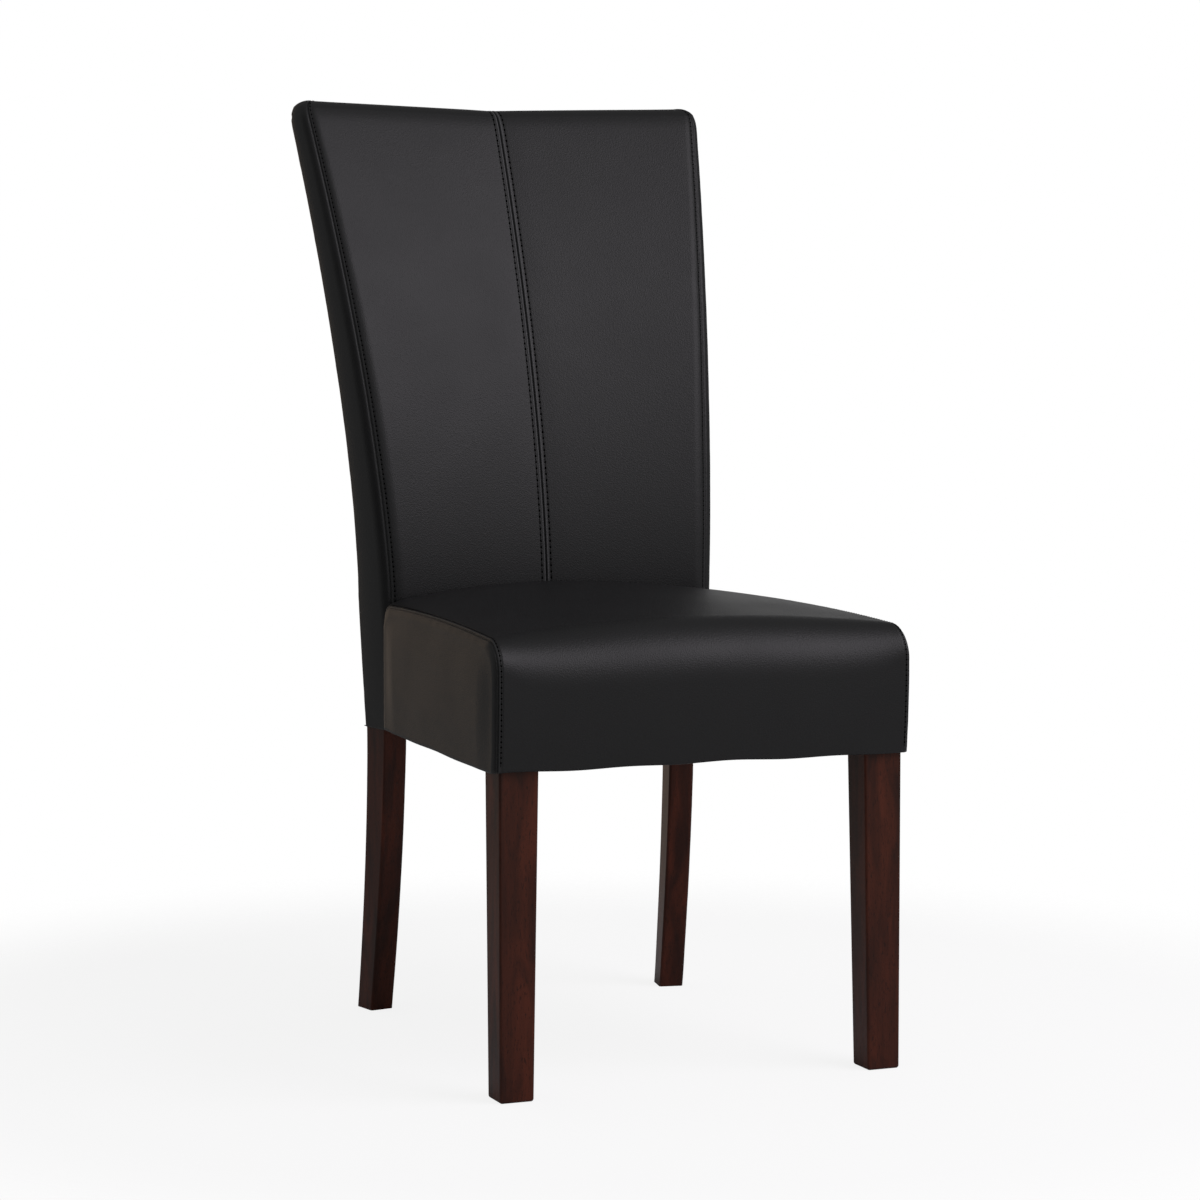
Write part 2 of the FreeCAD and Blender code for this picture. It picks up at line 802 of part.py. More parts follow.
def seat_wire(share, inset, base):
    """Upright outline of the seat along its depth, at a share of the half width."""
    front = size("- overall_depth / 2") + inset
    edge_radius = size("seat_edge_radius")
    front_half = size("front_leg_span / 2 + cover_thickness + soft_gap")
    rear_half = size("seat_rear_span / 2")
    across = share * front_half
    corner = max(0.0, abs(across) - (front_half - edge_radius))
    drawn_in = edge_radius - math.sqrt(max(0.0, edge_radius ** 2 - corner ** 2))
    front_half -= inset
    rear_half -= inset
    station = back_station(size("back_base"))
    rear_across = share * rear_half
    rear = station.centre + math.sqrt((station.radius - size("seat_back_gap")) ** 2 - rear_across ** 2)
    corner_radius = size("seat_corner_radius")
    rear_corner = min(corner_radius, max(0.0, abs(rear_across) - (rear_half - corner_radius)))
    rear -= corner_radius - math.sqrt(corner_radius ** 2 - rear_corner ** 2) + inset
    radius = size("seat_front_radius") - inset
    top = size("seat_edge_height") + size("seat_crown") * (1 - share ** 2) - drawn_in - inset
    front_top = top - size("seat_front_drop")
    rear_top = top - size("seat_rear_drop")
    front_bend = front + drawn_in
    puff = size("seat_puff")
    bend = radius * math.sqrt(0.5)

    leg_rear = size(LEG_REAR)

    def place(depth, level):
        along = (depth - leg_rear) / (BACK_FACE - leg_rear)
        return Vector(share * (front_half + (rear_half - front_half) * along), depth, level)

    points = [
        place(front_bend + puff, base),
        place(front_bend + puff / 4, (base + front_top - radius) / 2),
        place(front_bend, front_top - radius),
        place(front_bend + radius - bend, front_top - radius + bend),
        place(front_bend + radius, front_top),
        place((front_bend + rear) / 2, top),
        place(rear, rear_top),
        place(rear, base),
    ]
    return Part.Wire([
        Part.Arc(points[0], points[1], points[2]).toShape(),
        Part.Arc(points[2], points[3], points[4]).toShape(),
        Part.Arc(points[4], points[5], points[6]).toShape(),
        Part.makeLine(points[6], points[7]),
        Part.makeLine(points[7], points[0]),
    ])


def seat_shares():
    """Stations across the seat: even over the crown, closer over the rounded side edges."""
    half = size("front_leg_span / 2 + cover_thickness + soft_gap")
    edge = size("seat_edge_radius")
    crown = [0.3, 0.55, 0.75, 0.87, 0.92]
    rounded = [(half - edge + edge * math.sin(math.radians(turn))) / half for turn in SEAT_EDGE_TURNS]
    right = crown + rounded
    return [-share for share in reversed(right)] + [0.0] + right


def seat_form(inset, base):
    wires = [seat_wire(share, inset, base) for share in seat_shares()]
    return Part.makeLoft(wires, True, False)


def seat_side_band(side):
    """Region of a seat's side panel: everything outside its seam."""
    margin = size("seat_corner_radius")
    seam = size("side_seam_inset")
    front_half = size("front_leg_span / 2 + cover_thickness + soft_gap") - seam
    rear_half = size("seat_rear_span / 2") - seam
    front = size("- overall_depth / 2")
    slope = (rear_half - front_half) / (BACK_FACE - size(LEG_REAR))
    corners = []
    for depth, out in ((front - margin, 0), (BACK_FACE + margin, 0), (BACK_FACE + margin, margin),
                       (front - margin, margin)):
        half = front_half + slope * (depth - size(LEG_REAR)) + out
        corners.append(Vector(side * half, depth, size("seat_base") - margin))
    outline = Part.Face(Part.makePolygon(corners + corners[:1]))
    return outline.extrude(UP * size("seat_edge_height + seat_crown + 2 * seat_corner_radius - seat_base"))


def seat_covers():
    """The strip over front, top and rear of the seat, and its two side panels, by name."""
    thickness = size("cover_thickness")
    outer = seat_form(0, size("seat_base"))
    shell = outer.cut(seat_form(thickness, size("seat_base") - thickness))
    panels = {}
    strip = shell
    for name, side in SIDES.items():
        band = seat_side_band(side)
        panels["seat_cover_side_" + name] = shell.common(band)
        strip = strip.cut(band)
    panels["seat_cover_top"] = strip
    return panels


# Webbing and linings

def long_strap(across):
    """Strap from the front rail to the rear rail, stepped up over the cross straps."""
    body = new_body("long_strap")
    sketch = sketch_on(body, "YZ_Plane", "side_view")
    start = f"({LEG_FACE} + strap_margin)"
    stop = f"({SIDE_END} - rail_thickness / 4)"
    step_start = f"({LEG_FACE} + rail_thickness + strap_margin)"
    step_stop = f"({stop} - rail_thickness - strap_margin)"
    base = RAIL_TOP
    corners = [
        (start, base),
        (step_start, base),
        (f"({step_start} + strap_margin)", f"({base} + strap_thickness)"),
        (f"({step_stop} - strap_margin)", f"({base} + strap_thickness)"),
        (step_stop, base),
        (stop, base),
    ]
    above = [(along, f"({level} + strap_thickness)") for along, level in reversed(corners)]
    draw_polygon(sketch, corners + above)
    pad(body, sketch, "strap_width", both_ways=True)
    body.setExpression("Placement.Base.x", bound(across))
    return body


def cross_strap(along):
    """Strap from side rail to side rail."""
    half = f"({side_rail_out(along)} - strap_margin)"
    near = f"({along} - strap_width / 2)"
    far = f"({along} + strap_width / 2)"
    return prism("cross_strap", [(f"- {half}", near), (half, near), (half, far), (f"- {half}", far)],
                 RAIL_TOP, "strap_thickness")


def dust_cover():
    """Cloth under the seat box, cut round the front legs."""
    edge = "staple_leg / 2"
    corners = [
        (f"({LEG_IN} - {edge})", f"({LEG_FACE} + {edge})"),
        (f"({LEG_IN} - {edge})", f"({LEG_REAR} + {edge})"),
        (f"({side_rail_out(LEG_REAR)} - {edge})", f"({LEG_REAR} + {edge})"),
        (f"({side_rail_out(SIDE_END)} - {edge})", f"({SIDE_END} - {edge})"),
    ]
    centre = ("0", f"({BARREL_CENTRE} + {BARREL_RADIUS} - rail_setback - rail_thickness / 2)")
    left = [(f"- {across}", along) for across, along in reversed(corners)]
    return prism("dust_cover_cloth", corners + [centre] + left,
                 f"{RAIL_BASE} - lining_thickness", "lining_thickness")


def base_lining():
    """Cloth under the back, closed round the rear legs."""
    bottom = size("back_base")
    station_levels = (bottom, bottom + size("lining_thickness"))
    return both_halves(lambda side: barrel_sheet(
        side, station_levels, lambda level: SKIN, lambda level: back_depth(level) - SKIN, SKIN,
    ))


# Fasteners: one master of each, copied to its places

def bolt_master(label, length):
    return turned(label, [("0", "0"), ("bolt_diameter / 2", "0"), ("bolt_diameter / 2", length), ("0", length)])


def headed_bolt_master(label, length):
    """Bolt whose head lies below the origin and whose shank points up."""
    return turned(label, [
        ("0", "- bolt_head_height"),
        ("bolt_head_diameter / 2", "- bolt_head_height"),
        ("bolt_head_diameter / 2", "0"),
        ("bolt_diameter / 2", "0"),
        ("bolt_diameter / 2", length),
        ("0", length),
    ])


def washer_master():
    hole = "(bolt_diameter / 2 + hole_clearance)"
    return turned("washer", [
        (hole, "0"), ("washer_diameter / 2", "0"), ("washer_diameter / 2", "washer_thickness"),
        (hole, "washer_thickness"),
    ])


def nut_master():
    """Hexagonal nut on the bolt's thread."""
    body = new_body("nut")
    sketch = sketch_on(body, "XY_Plane", "plan")
    draw_polygon(sketch, [
        (f"nut_width / 2 / cos(30) * cos({turn})", f"nut_width / 2 / cos(30) * sin({turn})")
        for turn in range(15, 375, 60)
    ])
    bore = size("bolt_diameter / 2 + hole_clearance")
    circle = sketch.addGeometry(Part.Circle(Vector(), UP, bore), False)
    sketch.addConstraint(Sketcher.Constraint("Coincident", circle, 3, -1, 1))
    hold(sketch, Sketcher.Constraint("Radius", circle, bore), "bore", "bolt_diameter / 2 + hole_clearance")
    return pad(body, sketch, "nut_height")


def screw_master(label, length, clearance="0", head_room="0"):
    """Pan-head screw that points up from the underside of its head, or the room that it needs."""
    head = f"(screw_head / 2 + {clearance})"
    shank = f"(screw_diameter / 2 + {clearance})"
    bottom = f"(- screw_head_height - {head_room})"
    return turned(label, [
        ("0", bottom), (head, bottom), (head, "0"), (shank, "0"),
        (shank, f"({length} - screw_head_height - screw_point)"),
        ("0", f"({length} - screw_head_height + {clearance})"),
    ])


def dowel_master(label, clearance):
    half = f"(dowel_length / 2 + {clearance})"
    radius = f"(dowel_diameter / 2 + {clearance})"
    return turned(label, [("0", f"- {half}"), (radius, f"- {half}"), (radius, half), ("0", half)])


def staple_master(label, clearance):
    """Wire staple with its legs pointing up, or the room that it needs."""
    body = new_body(label)
    sketch = sketch_on(body, "XZ_Plane", "front_view")
    out = f"(staple_crown / 2 + {clearance})"
    inner = f"(staple_crown / 2 - staple_wire - {clearance})"
    top = f"(staple_leg + {clearance})"
    under = f"(staple_wire + {clearance})"
    draw_polygon(sketch, [
        (f"- {out}", "0"), (out, "0"), (out, top), (inner, top), (inner, under),
        (f"- {inner}", under), (f"- {inner}", top), (f"- {out}", top),
    ])
    return pad(body, sketch, f"(staple_wire + 2 * {clearance})", both_ways=True)


def drive(point, direction):
    """Placement of a fastener whose own axis is Z."""
    return FreeCAD.Placement(point, FreeCAD.Rotation(UP, direction))


def group(label, master, places):
    """Copies of one master at several places, as separate solids."""
    copies = []
    for place in places:
        copy = master.Shape.copy()
        copy.Placement = place
        copies.append(copy)
    return feature(label, Part.makeCompound(copies))


def leg_bolt_places():
    """Middle of each front block's slanted face, square to it, at two levels."""
    places = []
    for side in SIDES.values():
        corners = [Vector(size(across), size(along), 0) for across, along in front_block_corners(side)]
        inner, outer = corners[1], corners[2]
        run = outer - inner
        toward_leg = Vector(run.y, -run.x, 0) * side
        toward_leg.normalize()
        for share in LEG_BOLT_SHARES:
            level = size(RAIL_BASE + " + block_lift") + size("block_height") * share
            middle = (inner + outer) * 0.5
            places.append((Vector(middle.x, middle.y, level), toward_leg))
    return places


def block_screw_places():
    """One screw into each rail that a corner block lies against."""
    level = size(RAIL_BASE + " + block_lift + block_height / 2")
    seat = size("screw_seat")
    places = []
    for side in SIDES.values():
        along = f"({LEG_REAR} + block_reach * 0.55)"
        places.append((Vector(side * size(f"{LEG_IN} - block_reach * 0.55"),
                              size(f"{LEG_FACE} + rail_thickness") + seat, level), Vector(0, -1, 0)))
        places.append((Vector(side * (size(side_rail_in(along)) - seat), size(along), level), Vector(side, 0, 0)))
        rear_along = f"({SIDE_END} - rail_thickness / 2 - block_reach * 0.45)"
        places.append((Vector(side * (size(side_rail_in(rear_along)) - seat), size(rear_along), level),
                       Vector(side, 0, 0)))
        across = size(f"{side_rail_in(SIDE_END)} - block_reach * 0.45")
        rail_front = size(BARREL_CENTRE) + math.sqrt(
            size(f"{BARREL_RADIUS} - rail_setback - rail_thickness") ** 2 - across ** 2)
        places.append((Vector(side * across, rail_front - seat, level), Vector(0, 1, 0)))
    return places


def radial_place(radius, angle, level):
    """Point at a radius from the centre of the seat-level barrel, and the outward direction there."""
    direction = Vector(math.sin(angle), math.cos(angle), 0)
    return Vector(0, size(BARREL_CENTRE), level) + direction * radius, direction


def back_bolt_places(radius):
    """Places on the bolts' axes, at a radius from the centre of the seat-level barrel."""
    angle = math.asin(size("back_bolt_spacing / 2") / size(BARREL_RADIUS))
    levels = [size(RAIL_BASE) + size("rail_height") * share for share in BACK_BOLT_SHARES]
    return [radial_place(radius, side * angle, level) for side in SIDES.values() for level in levels]


def post_screw_places():
    """Screws through the lower rail into the middle of each post."""
    places = []
    for side in SIDES.values():
        for share in POST_SCREW_SHARES:
            level = size("back_base") + size("lower_rail_height") * share
            corner, width, depth = post_section(level)
            outward = Vector(side * math.sin(BARREL), math.cos(BARREL), 0)
            across = Vector(side * math.cos(BARREL), -math.sin(BARREL), 0)
            front = Vector(side * corner.x, corner.y, level) - across * (width / 2)
            head = size("lower_rail_thickness - post_screw_sink - screw_head_height")
            places.append((front - outward * head, outward))
    return places


def dowel_places():
    """Two dowels through each joint between a leaning rail and a post."""
    places = []
    for side in SIDES.values():
        for name in ("middle_rail_level", "top_rail_level"):
            for step in (-0.5, 0.5):
                level = size(name) + step * size("dowel_spacing")
                corner, width, depth = post_section(level)
                outward = Vector(side * math.sin(BARREL), math.cos(BARREL), 0)
                across = Vector(side * math.cos(BARREL), -math.sin(BARREL), 0)
                point = Vector(side * corner.x, corner.y, level) - across * width + outward * (depth / 2)
                places.append((point, across))
    return places


def staple_places():
    """Staples through the dust cover into the four rails."""
    level = size(f"{RAIL_BASE} - lining_thickness - staple_wire")
    places = []
    shares = [(count + 0.5) / STAPLES_PER_RAIL - 0.5 for count in range(STAPLES_PER_RAIL)]
    for share in shares:
        across = share * size("2 * " + LEG_IN)
        places.append(FreeCAD.Placement(Vector(across, size(f"{LEG_FACE} + rail_thickness / 2"), level),
                                        FreeCAD.Rotation()))
        point, outward = radial_place(size(f"{BARREL_RADIUS} - rail_setback - rail_thickness * 0.6"),
                                      share * size("side_rail_rear_span / 1.4") / size(BARREL_RADIUS), level)
        turn = FreeCAD.Rotation(UP, -math.degrees(math.asin(outward.x)))
        places.append(FreeCAD.Placement(point, turn))
        for side in SIDES.values():
            along = size(f"({LEG_REAR} + {SIDE_END}) / 2") + share * size(f"{SIDE_END} - {LEG_REAR}")
            middle = size(f"{side_rail_out(str(along))} - rail_thickness / 2")
            places.append(FreeCAD.Placement(Vector(side * middle, along, level), FreeCAD.Rotation(UP, 90)))
    return places


# Assembly

screw = screw_master("block_screw", "block_screw_length")
screw_room = screw_master("block_screw_room", "block_screw_length", "hole_clearance", "block_reach")
long_screw = screw_master("post_screw", "post_screw_length")
long_screw_room = screw_master("post_screw_room", "post_screw_length", "hole_clearance", "block_reach")
leg_bolt = bolt_master("leg_bolt", "leg_bolt_length")
back_bolt_length = ("(rail_thickness + 2 * rail_setback + lower_rail_thickness"
                    " + 2 * washer_thickness + nut_height + bolt_spare)")
back_bolt = headed_bolt_master("back_bolt", back_bolt_length)
washer = washer_master()
nut = nut_master()
dowel = dowel_master("dowel", "0")
dowel_room = dowel_master("dowel_room", "hole_clearance")
staple = staple_master("staple", "0")
staple_room = staple_master("staple_room", "hole_clearance")
doc.recompute()

clearance = size("hole_clearance")
bolt_hole = size("bolt_diameter / 2") + clearance
leg_places = leg_bolt_places()
leg_bolt_start = size("washer_thickness + nut_height + bolt_spare")
head_radius = size(f"sqrt(({BARREL_RADIUS} - rail_setback - rail_thickness)^2 - (washer_diameter / 2)^2)"
                   " - washer_thickness")
nut_radius = size(f"{BARREL_RADIUS} + rail_setback + lower_rail_thickness")
bolt_places = back_bolt_places(head_radius)

keep("front_leg_bolts", group("front_leg_bolts", leg_bolt, [
    drive(point - way * leg_bolt_start, way) for point, way in leg_places]))
keep("front_leg_washers", group("front_leg_washers", washer, [
    drive(point, way * -1) for point, way in leg_places]))
keep("front_leg_nuts", group("front_leg_nuts", nut, [
    drive(point - way * size("washer_thickness"), way * -1) for point, way in leg_places]))
keep("back_bolts", group("back_bolts", back_bolt, [drive(*place) for place in bolt_places]))
keep("back_bolt_washers", group("back_bolt_washers", washer, [
    drive(*place) for radius in (head_radius, nut_radius) for place in back_bolt_places(radius)]))
keep("back_bolt_nuts", group("back_bolt_nuts", nut, [
    drive(*place) for place in back_bolt_places(nut_radius + size("washer_thickness"))]))
keep("corner_block_screws", group("corner_block_screws", screw, [
    drive(*place) for place in block_screw_places()]))
keep("post_screws", group("post_screws", long_screw, [drive(*place) for place in post_screw_places()]))
keep("back_rail_dowels", group("back_rail_dowels", dowel, [drive(*place) for place in dowel_places()]))
keep("dust_cover_staples", group("dust_cover_staples", staple, staple_places()))

leg_bolt_room = feature("leg_bolt_room", Part.makeCompound([
    Part.makeCylinder(bolt_hole, size("leg_bolt_length") + clearance, point - way * leg_bolt_start, way)
    for point, way in leg_places]))
back_bolt_room = feature("back_bolt_room", Part.makeCompound([
    Part.makeCylinder(bolt_hole, size(back_bolt_length), *place) for place in bolt_places]))
block_screw_room = group("block_screw_rooms", screw_room, [drive(*place) for place in block_screw_places()])
post_screw_room = group("post_screw_rooms", long_screw_room, [drive(*place) for place in post_screw_places()])
dowel_rooms = group("dowel_rooms", dowel_room, [drive(*place) for place in dowel_places()])
staple_rooms = group("staple_rooms", staple_room, staple_places())

posts = {}
rear_board = rear_rail()
for name, side in SIDES.items():
    posts[name] = rear_post("rear_post_solid_" + name, side)
    keep("rear_post_" + name, trim("rear_post_" + name, posts[name], post_screw_room, dowel_rooms))
    keep("front_leg_" + name, trim("front_leg_" + name, front_leg("front_leg_solid", side), leg_bolt_room))
    keep("seat_rail_" + name, trim("seat_rail_" + name, side_rail(side), rear_board,
                                   block_screw_room, staple_rooms))
    front_block = prism("front_block", front_block_corners(side), RAIL_BASE + " + block_lift", "block_height")
    keep("corner_block_front_" + name, trim("corner_block_front_" + name, front_block,
                                            leg_bolt_room, block_screw_room))
    rear_block = prism("rear_block", rear_block_corners(side), RAIL_BASE + " + block_lift", "block_height")
    keep("corner_block_rear_" + name, trim("corner_block_rear_" + name, rear_block,
                                           rear_board, block_screw_room))
keep("seat_rail_front", trim("seat_rail_front", front_rail(), block_screw_room, staple_rooms))
keep("seat_rail_rear", trim("seat_rail_rear", rear_board, block_screw_room, staple_rooms, back_bolt_room))

both_posts = doc.addObject("Part::MultiFuse", "both_posts")
both_posts.Shapes = list(posts.values())
keep("back_rail_lower", trim("back_rail_lower", lower_rail(), both_posts, post_screw_room, back_bolt_room))
inner_board = keep("back_inner_panel", feature("back_inner_panel", inner_panel()))
outer_board = keep("back_outer_panel", feature("back_outer_panel", outer_panel()))
# the upper rails are shaped to the bent boards on both sides of them
for name in ("middle", "top"):
    board = leaning_rail(name + "_rail_board", name + "_rail_level", name + "_rail_height")
    keep("back_rail_" + name, trim("back_rail_" + name, board, both_posts, inner_board, outer_board, dowel_rooms))

keep("back_foam", feature("back_foam", back_foam()))
keep("seat_foam", feature("seat_foam", seat_form(SKIN, size("seat_base")).cut(slab(0, size(FOAM_BASE)))))
lining = feature("base_lining_cloth", base_lining())
keep("back_base_lining", trim("back_base_lining", lining, both_posts))
keep("dust_cover", trim("dust_cover", dust_cover(), staple_rooms))

for count in range(STRAPS_EACH_WAY):
    spread = count - (STRAPS_EACH_WAY - 1) / 2
    keep(f"webbing_long_{count + 1}", long_strap(f"{LEG_IN} * {spread} * 0.62"))
    middle = f"(({LEG_REAR} + {SIDE_END}) / 2 + ({SIDE_END} - {LEG_REAR}) * {spread} * 0.27)"
    keep(f"webbing_cross_{count + 1}", cross_strap(middle))

for label, shape in {**back_covers(), **seat_covers()}.items():
    panel = feature(label + "_panel", shape)
    keep(label, trim(label, panel, back_bolt_room))

doc.recompute()

faults = []
for item in doc.Objects:
    if "Invalid" in item.State or "Error" in item.State:
        faults.append(f"{item.Label}: {item.State}")
for label, item in nodes.items():
    if item.Shape.isNull() or not item.Shape.isValid() or not item.Shape.Solids:
        faults.append(f"{label}: no valid solid")
if faults:
    raise RuntimeError("; ".join(faults))

os.makedirs(NODE_FOLDER, exist_ok=True)
for label, item in nodes.items():
    item.Shape.exportStep(os.path.join(NODE_FOLDER, label + ".step"))
    print(f"{label}: {len(item.Shape.Solids)} solid(s), {item.Shape.Volume / 1000:.1f} cm3")
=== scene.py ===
"""Looks of a high-backed dining chair: stitched black leather cloth over foam, stained wooden legs.

Metres, +Z up, -Y is the front and -X is the left side as it is seen from the front.
The cover is built panel by panel on nets of points, drawn in at its seams, and sewn with real stitches.
"""
import logging
import math
from dataclasses import dataclass, field
from enum import Enum
from typing import Optional, Sequence

import bmesh
import bpy
import numpy as np
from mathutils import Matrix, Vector


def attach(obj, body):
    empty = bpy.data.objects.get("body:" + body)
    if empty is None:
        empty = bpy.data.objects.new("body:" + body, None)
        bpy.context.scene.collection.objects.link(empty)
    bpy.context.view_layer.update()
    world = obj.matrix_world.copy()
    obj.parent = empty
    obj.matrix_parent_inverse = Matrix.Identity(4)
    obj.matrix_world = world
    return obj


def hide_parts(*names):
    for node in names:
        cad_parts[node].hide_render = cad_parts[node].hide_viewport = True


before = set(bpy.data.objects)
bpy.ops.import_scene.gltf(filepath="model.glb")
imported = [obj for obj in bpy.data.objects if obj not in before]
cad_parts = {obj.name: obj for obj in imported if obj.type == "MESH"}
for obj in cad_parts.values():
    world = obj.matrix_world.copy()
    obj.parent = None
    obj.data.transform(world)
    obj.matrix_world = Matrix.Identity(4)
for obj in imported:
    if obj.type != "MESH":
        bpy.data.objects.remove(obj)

MM = 0.001
ROOT = "root"
# name of the point attribute that holds the share of painted seam highlight
SEAM_HIGHLIGHT = "seam_highlight"
WHITE = (1.0, 1.0, 1.0, 1.0)
# a wave texture of scale 1 repeats after about this many metres, across its bands and on its diagonal
WAVE_ACROSS = 0.32
WAVE_DIAGONAL = 0.36
log = logging.getLogger("chair")
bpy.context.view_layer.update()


# Colour and shader helpers

def linear(hex_code: str) -> tuple[float, float, float, float]:
    """Turn an sRGB hex colour into linear red, green, blue and alpha.

    Args:
        hex_code: six hex digits, with or without a leading hash sign.

    Returns:
        Four floats from 0 to 1.
    """
    digits = hex_code.lstrip("#")
    channels = [int(digits[start:start + 2], 16) / 255 for start in (0, 2, 4)]
    straight = [c / 12.92 if c <= 0.04045 else ((c + 0.055) / 1.055) ** 2.4 for c in channels]
    return straight[0], straight[1], straight[2], 1.0


def set_up(tree: bpy.types.NodeTree, node: bpy.types.Node, settings: Optional[dict] = None,
           links: Optional[dict] = None) -> None:
    """Set some of a node's attributes and inputs, and feed others.

    Args:
        tree: the node tree that it is in.
        node: the node.
        settings: attribute or input names with their values.
        links: input names or numbers with the output sockets that feed them.
    """
    for name, value in (settings or {}).items():
        if isinstance(name, str) and hasattr(node, name):
            setattr(node, name, value)
        else:
            node.inputs[name].default_value = value
    for name, socket in (links or {}).items():
        tree.links.new(socket, node.inputs[name])


def add_node(tree: bpy.types.NodeTree, kind: str, settings: Optional[dict] = None,
             links: Optional[dict] = None, steps: Sequence[tuple] = ()) -> bpy.types.Node:
    """Add one shader node.

    Args:
        tree: the node tree that it joins.
        kind: the node's type name.
        settings: attribute or input names with their values.
        links: input names or numbers with the output sockets that feed them.
        steps: places and colours of a colour ramp, in order.

    Returns:
        The new node.
    """
    node = tree.nodes.new(kind)
    set_up(tree, node, settings, links)
    if steps:
        ramp = node.color_ramp.elements
        for place, _ in steps[1:-1]:
            ramp.new(place)
        for step, (place, colour) in zip(ramp, steps):
            step.position = place
            step.color = colour
    return node


def new_material(name: str) -> tuple[bpy.types.Material, bpy.types.NodeTree, bpy.types.Node,
                                     bpy.types.NodeSocket]:
    """Make a material that holds a bare Principled shader.

    Args:
        name: the material's name.

    Returns:
        The material, its node tree, its shader node and the socket that gives the place on the piece.
    """
    material = bpy.data.materials.new(name)
    material.use_nodes = True
    tree = material.node_tree
    shader = next(node for node in tree.nodes if node.type == "BSDF_PRINCIPLED")
    return material, tree, shader, add_node(tree, "ShaderNodeTexCoord").outputs["Object"]


# Finishes

@dataclass(frozen=True)
class LeatherCloth:
    """Polyurethane-coated leather cloth, embossed with a fine pebble grain and satin to the eye."""

    name: str = "coated_leather"
    colour: str = "0f0f10"
    worn_colour: str = "121213"
    # painted highlight: the light grey of the seam lips, standing in for the light they catch
    painted_highlight_colour: str = "474748"
    roughness: float = 0.46
    roughness_spread: tuple[float, float] = (-0.015, 0.02)
    shine: float = 0.28
    ior: float = 1.46
    pebble: float = 1.3 * MM
    depth: float = 0.2 * MM
    cloud: float = 71.43 * MM

    def build(self) -> bpy.types.Material:
        """Build the material: coated cloth shines softly and breaks up the light in its pebbles.

        Returns:
            The material.
        """
        material, tree, shader, place = new_material(self.name)
        # the real pebbles are about 0.8 mm wide, too fine for the picture, so they are drawn 1.3 mm wide
        pebbles = add_node(tree, "ShaderNodeTexVoronoi",
                           {"feature": "SMOOTH_F1", "Scale": 1 / self.pebble, "Randomness": 0.9},
                           {"Vector": place})
        cloud = add_node(tree, "ShaderNodeTexNoise", {"Scale": 1 / self.cloud, "Detail": 3.0},
                         {"Vector": place})
        colour = add_node(tree, "ShaderNodeValToRGB", links={"Fac": cloud.outputs["Fac"]},
                          steps=((0.35, linear(self.colour)), (0.75, linear(self.worn_colour))))
        # painted highlight: along the seam lips a light grey stands in for the light that the raised lips catch
        seam_highlight = add_node(tree, "ShaderNodeAttribute", {"attribute_name": SEAM_HIGHLIGHT})
        cover = add_node(tree, "ShaderNodeMix", {"data_type": "RGBA", 7: linear(self.painted_highlight_colour)},
                         {0: seam_highlight.outputs["Fac"], 6: colour.outputs["Color"]})
        smoothest, roughest = [self.roughness + spread for spread in self.roughness_spread]
        sheen = add_node(tree, "ShaderNodeMapRange",
                         {"From Min": 0.3, "From Max": 0.7, "To Min": smoothest, "To Max": roughest},
                         {"Value": cloud.outputs["Fac"]})
        bump = add_node(tree, "ShaderNodeBump", {"Distance": self.depth, "Strength": 1.0},
                        {"Height": pebbles.outputs["Distance"]})
        set_up(tree, shader, {"IOR": self.ior, "Specular IOR Level": self.shine},
               {"Base Color": cover.outputs[2], "Roughness": sheen.outputs["Result"],
                "Normal": bump.outputs["Normal"]})
        return material


@dataclass(frozen=True)
class Thread:
    """Twisted polyester sewing thread, matt against the cover."""

    name: str = "polyester_thread"
    colour: str = "131213"
    roughness: float = 0.7
    shine: float = 0.15
    twist: float = 0.6 * MM
    depth: float = 0.05 * MM

    def build(self) -> bpy.types.Material:
        """Build the material: the twist of the plies shows as fine ridges.

        Returns:
            The material.
        """
        material, tree, shader, place = new_material(self.name)
        ridges = add_node(tree, "ShaderNodeTexWave",
                          {"bands_direction": "DIAGONAL", "Scale": WAVE_DIAGONAL / self.twist},
                          {"Vector": place})
        bump = add_node(tree, "ShaderNodeBump", {"Distance": self.depth}, {"Height": ridges.outputs["Fac"]})
        set_up(tree, shader, {"Base Color": linear(self.colour), "Roughness": self.roughness,
                              "Specular IOR Level": self.shine}, {"Normal": bump.outputs["Normal"]})
        return material


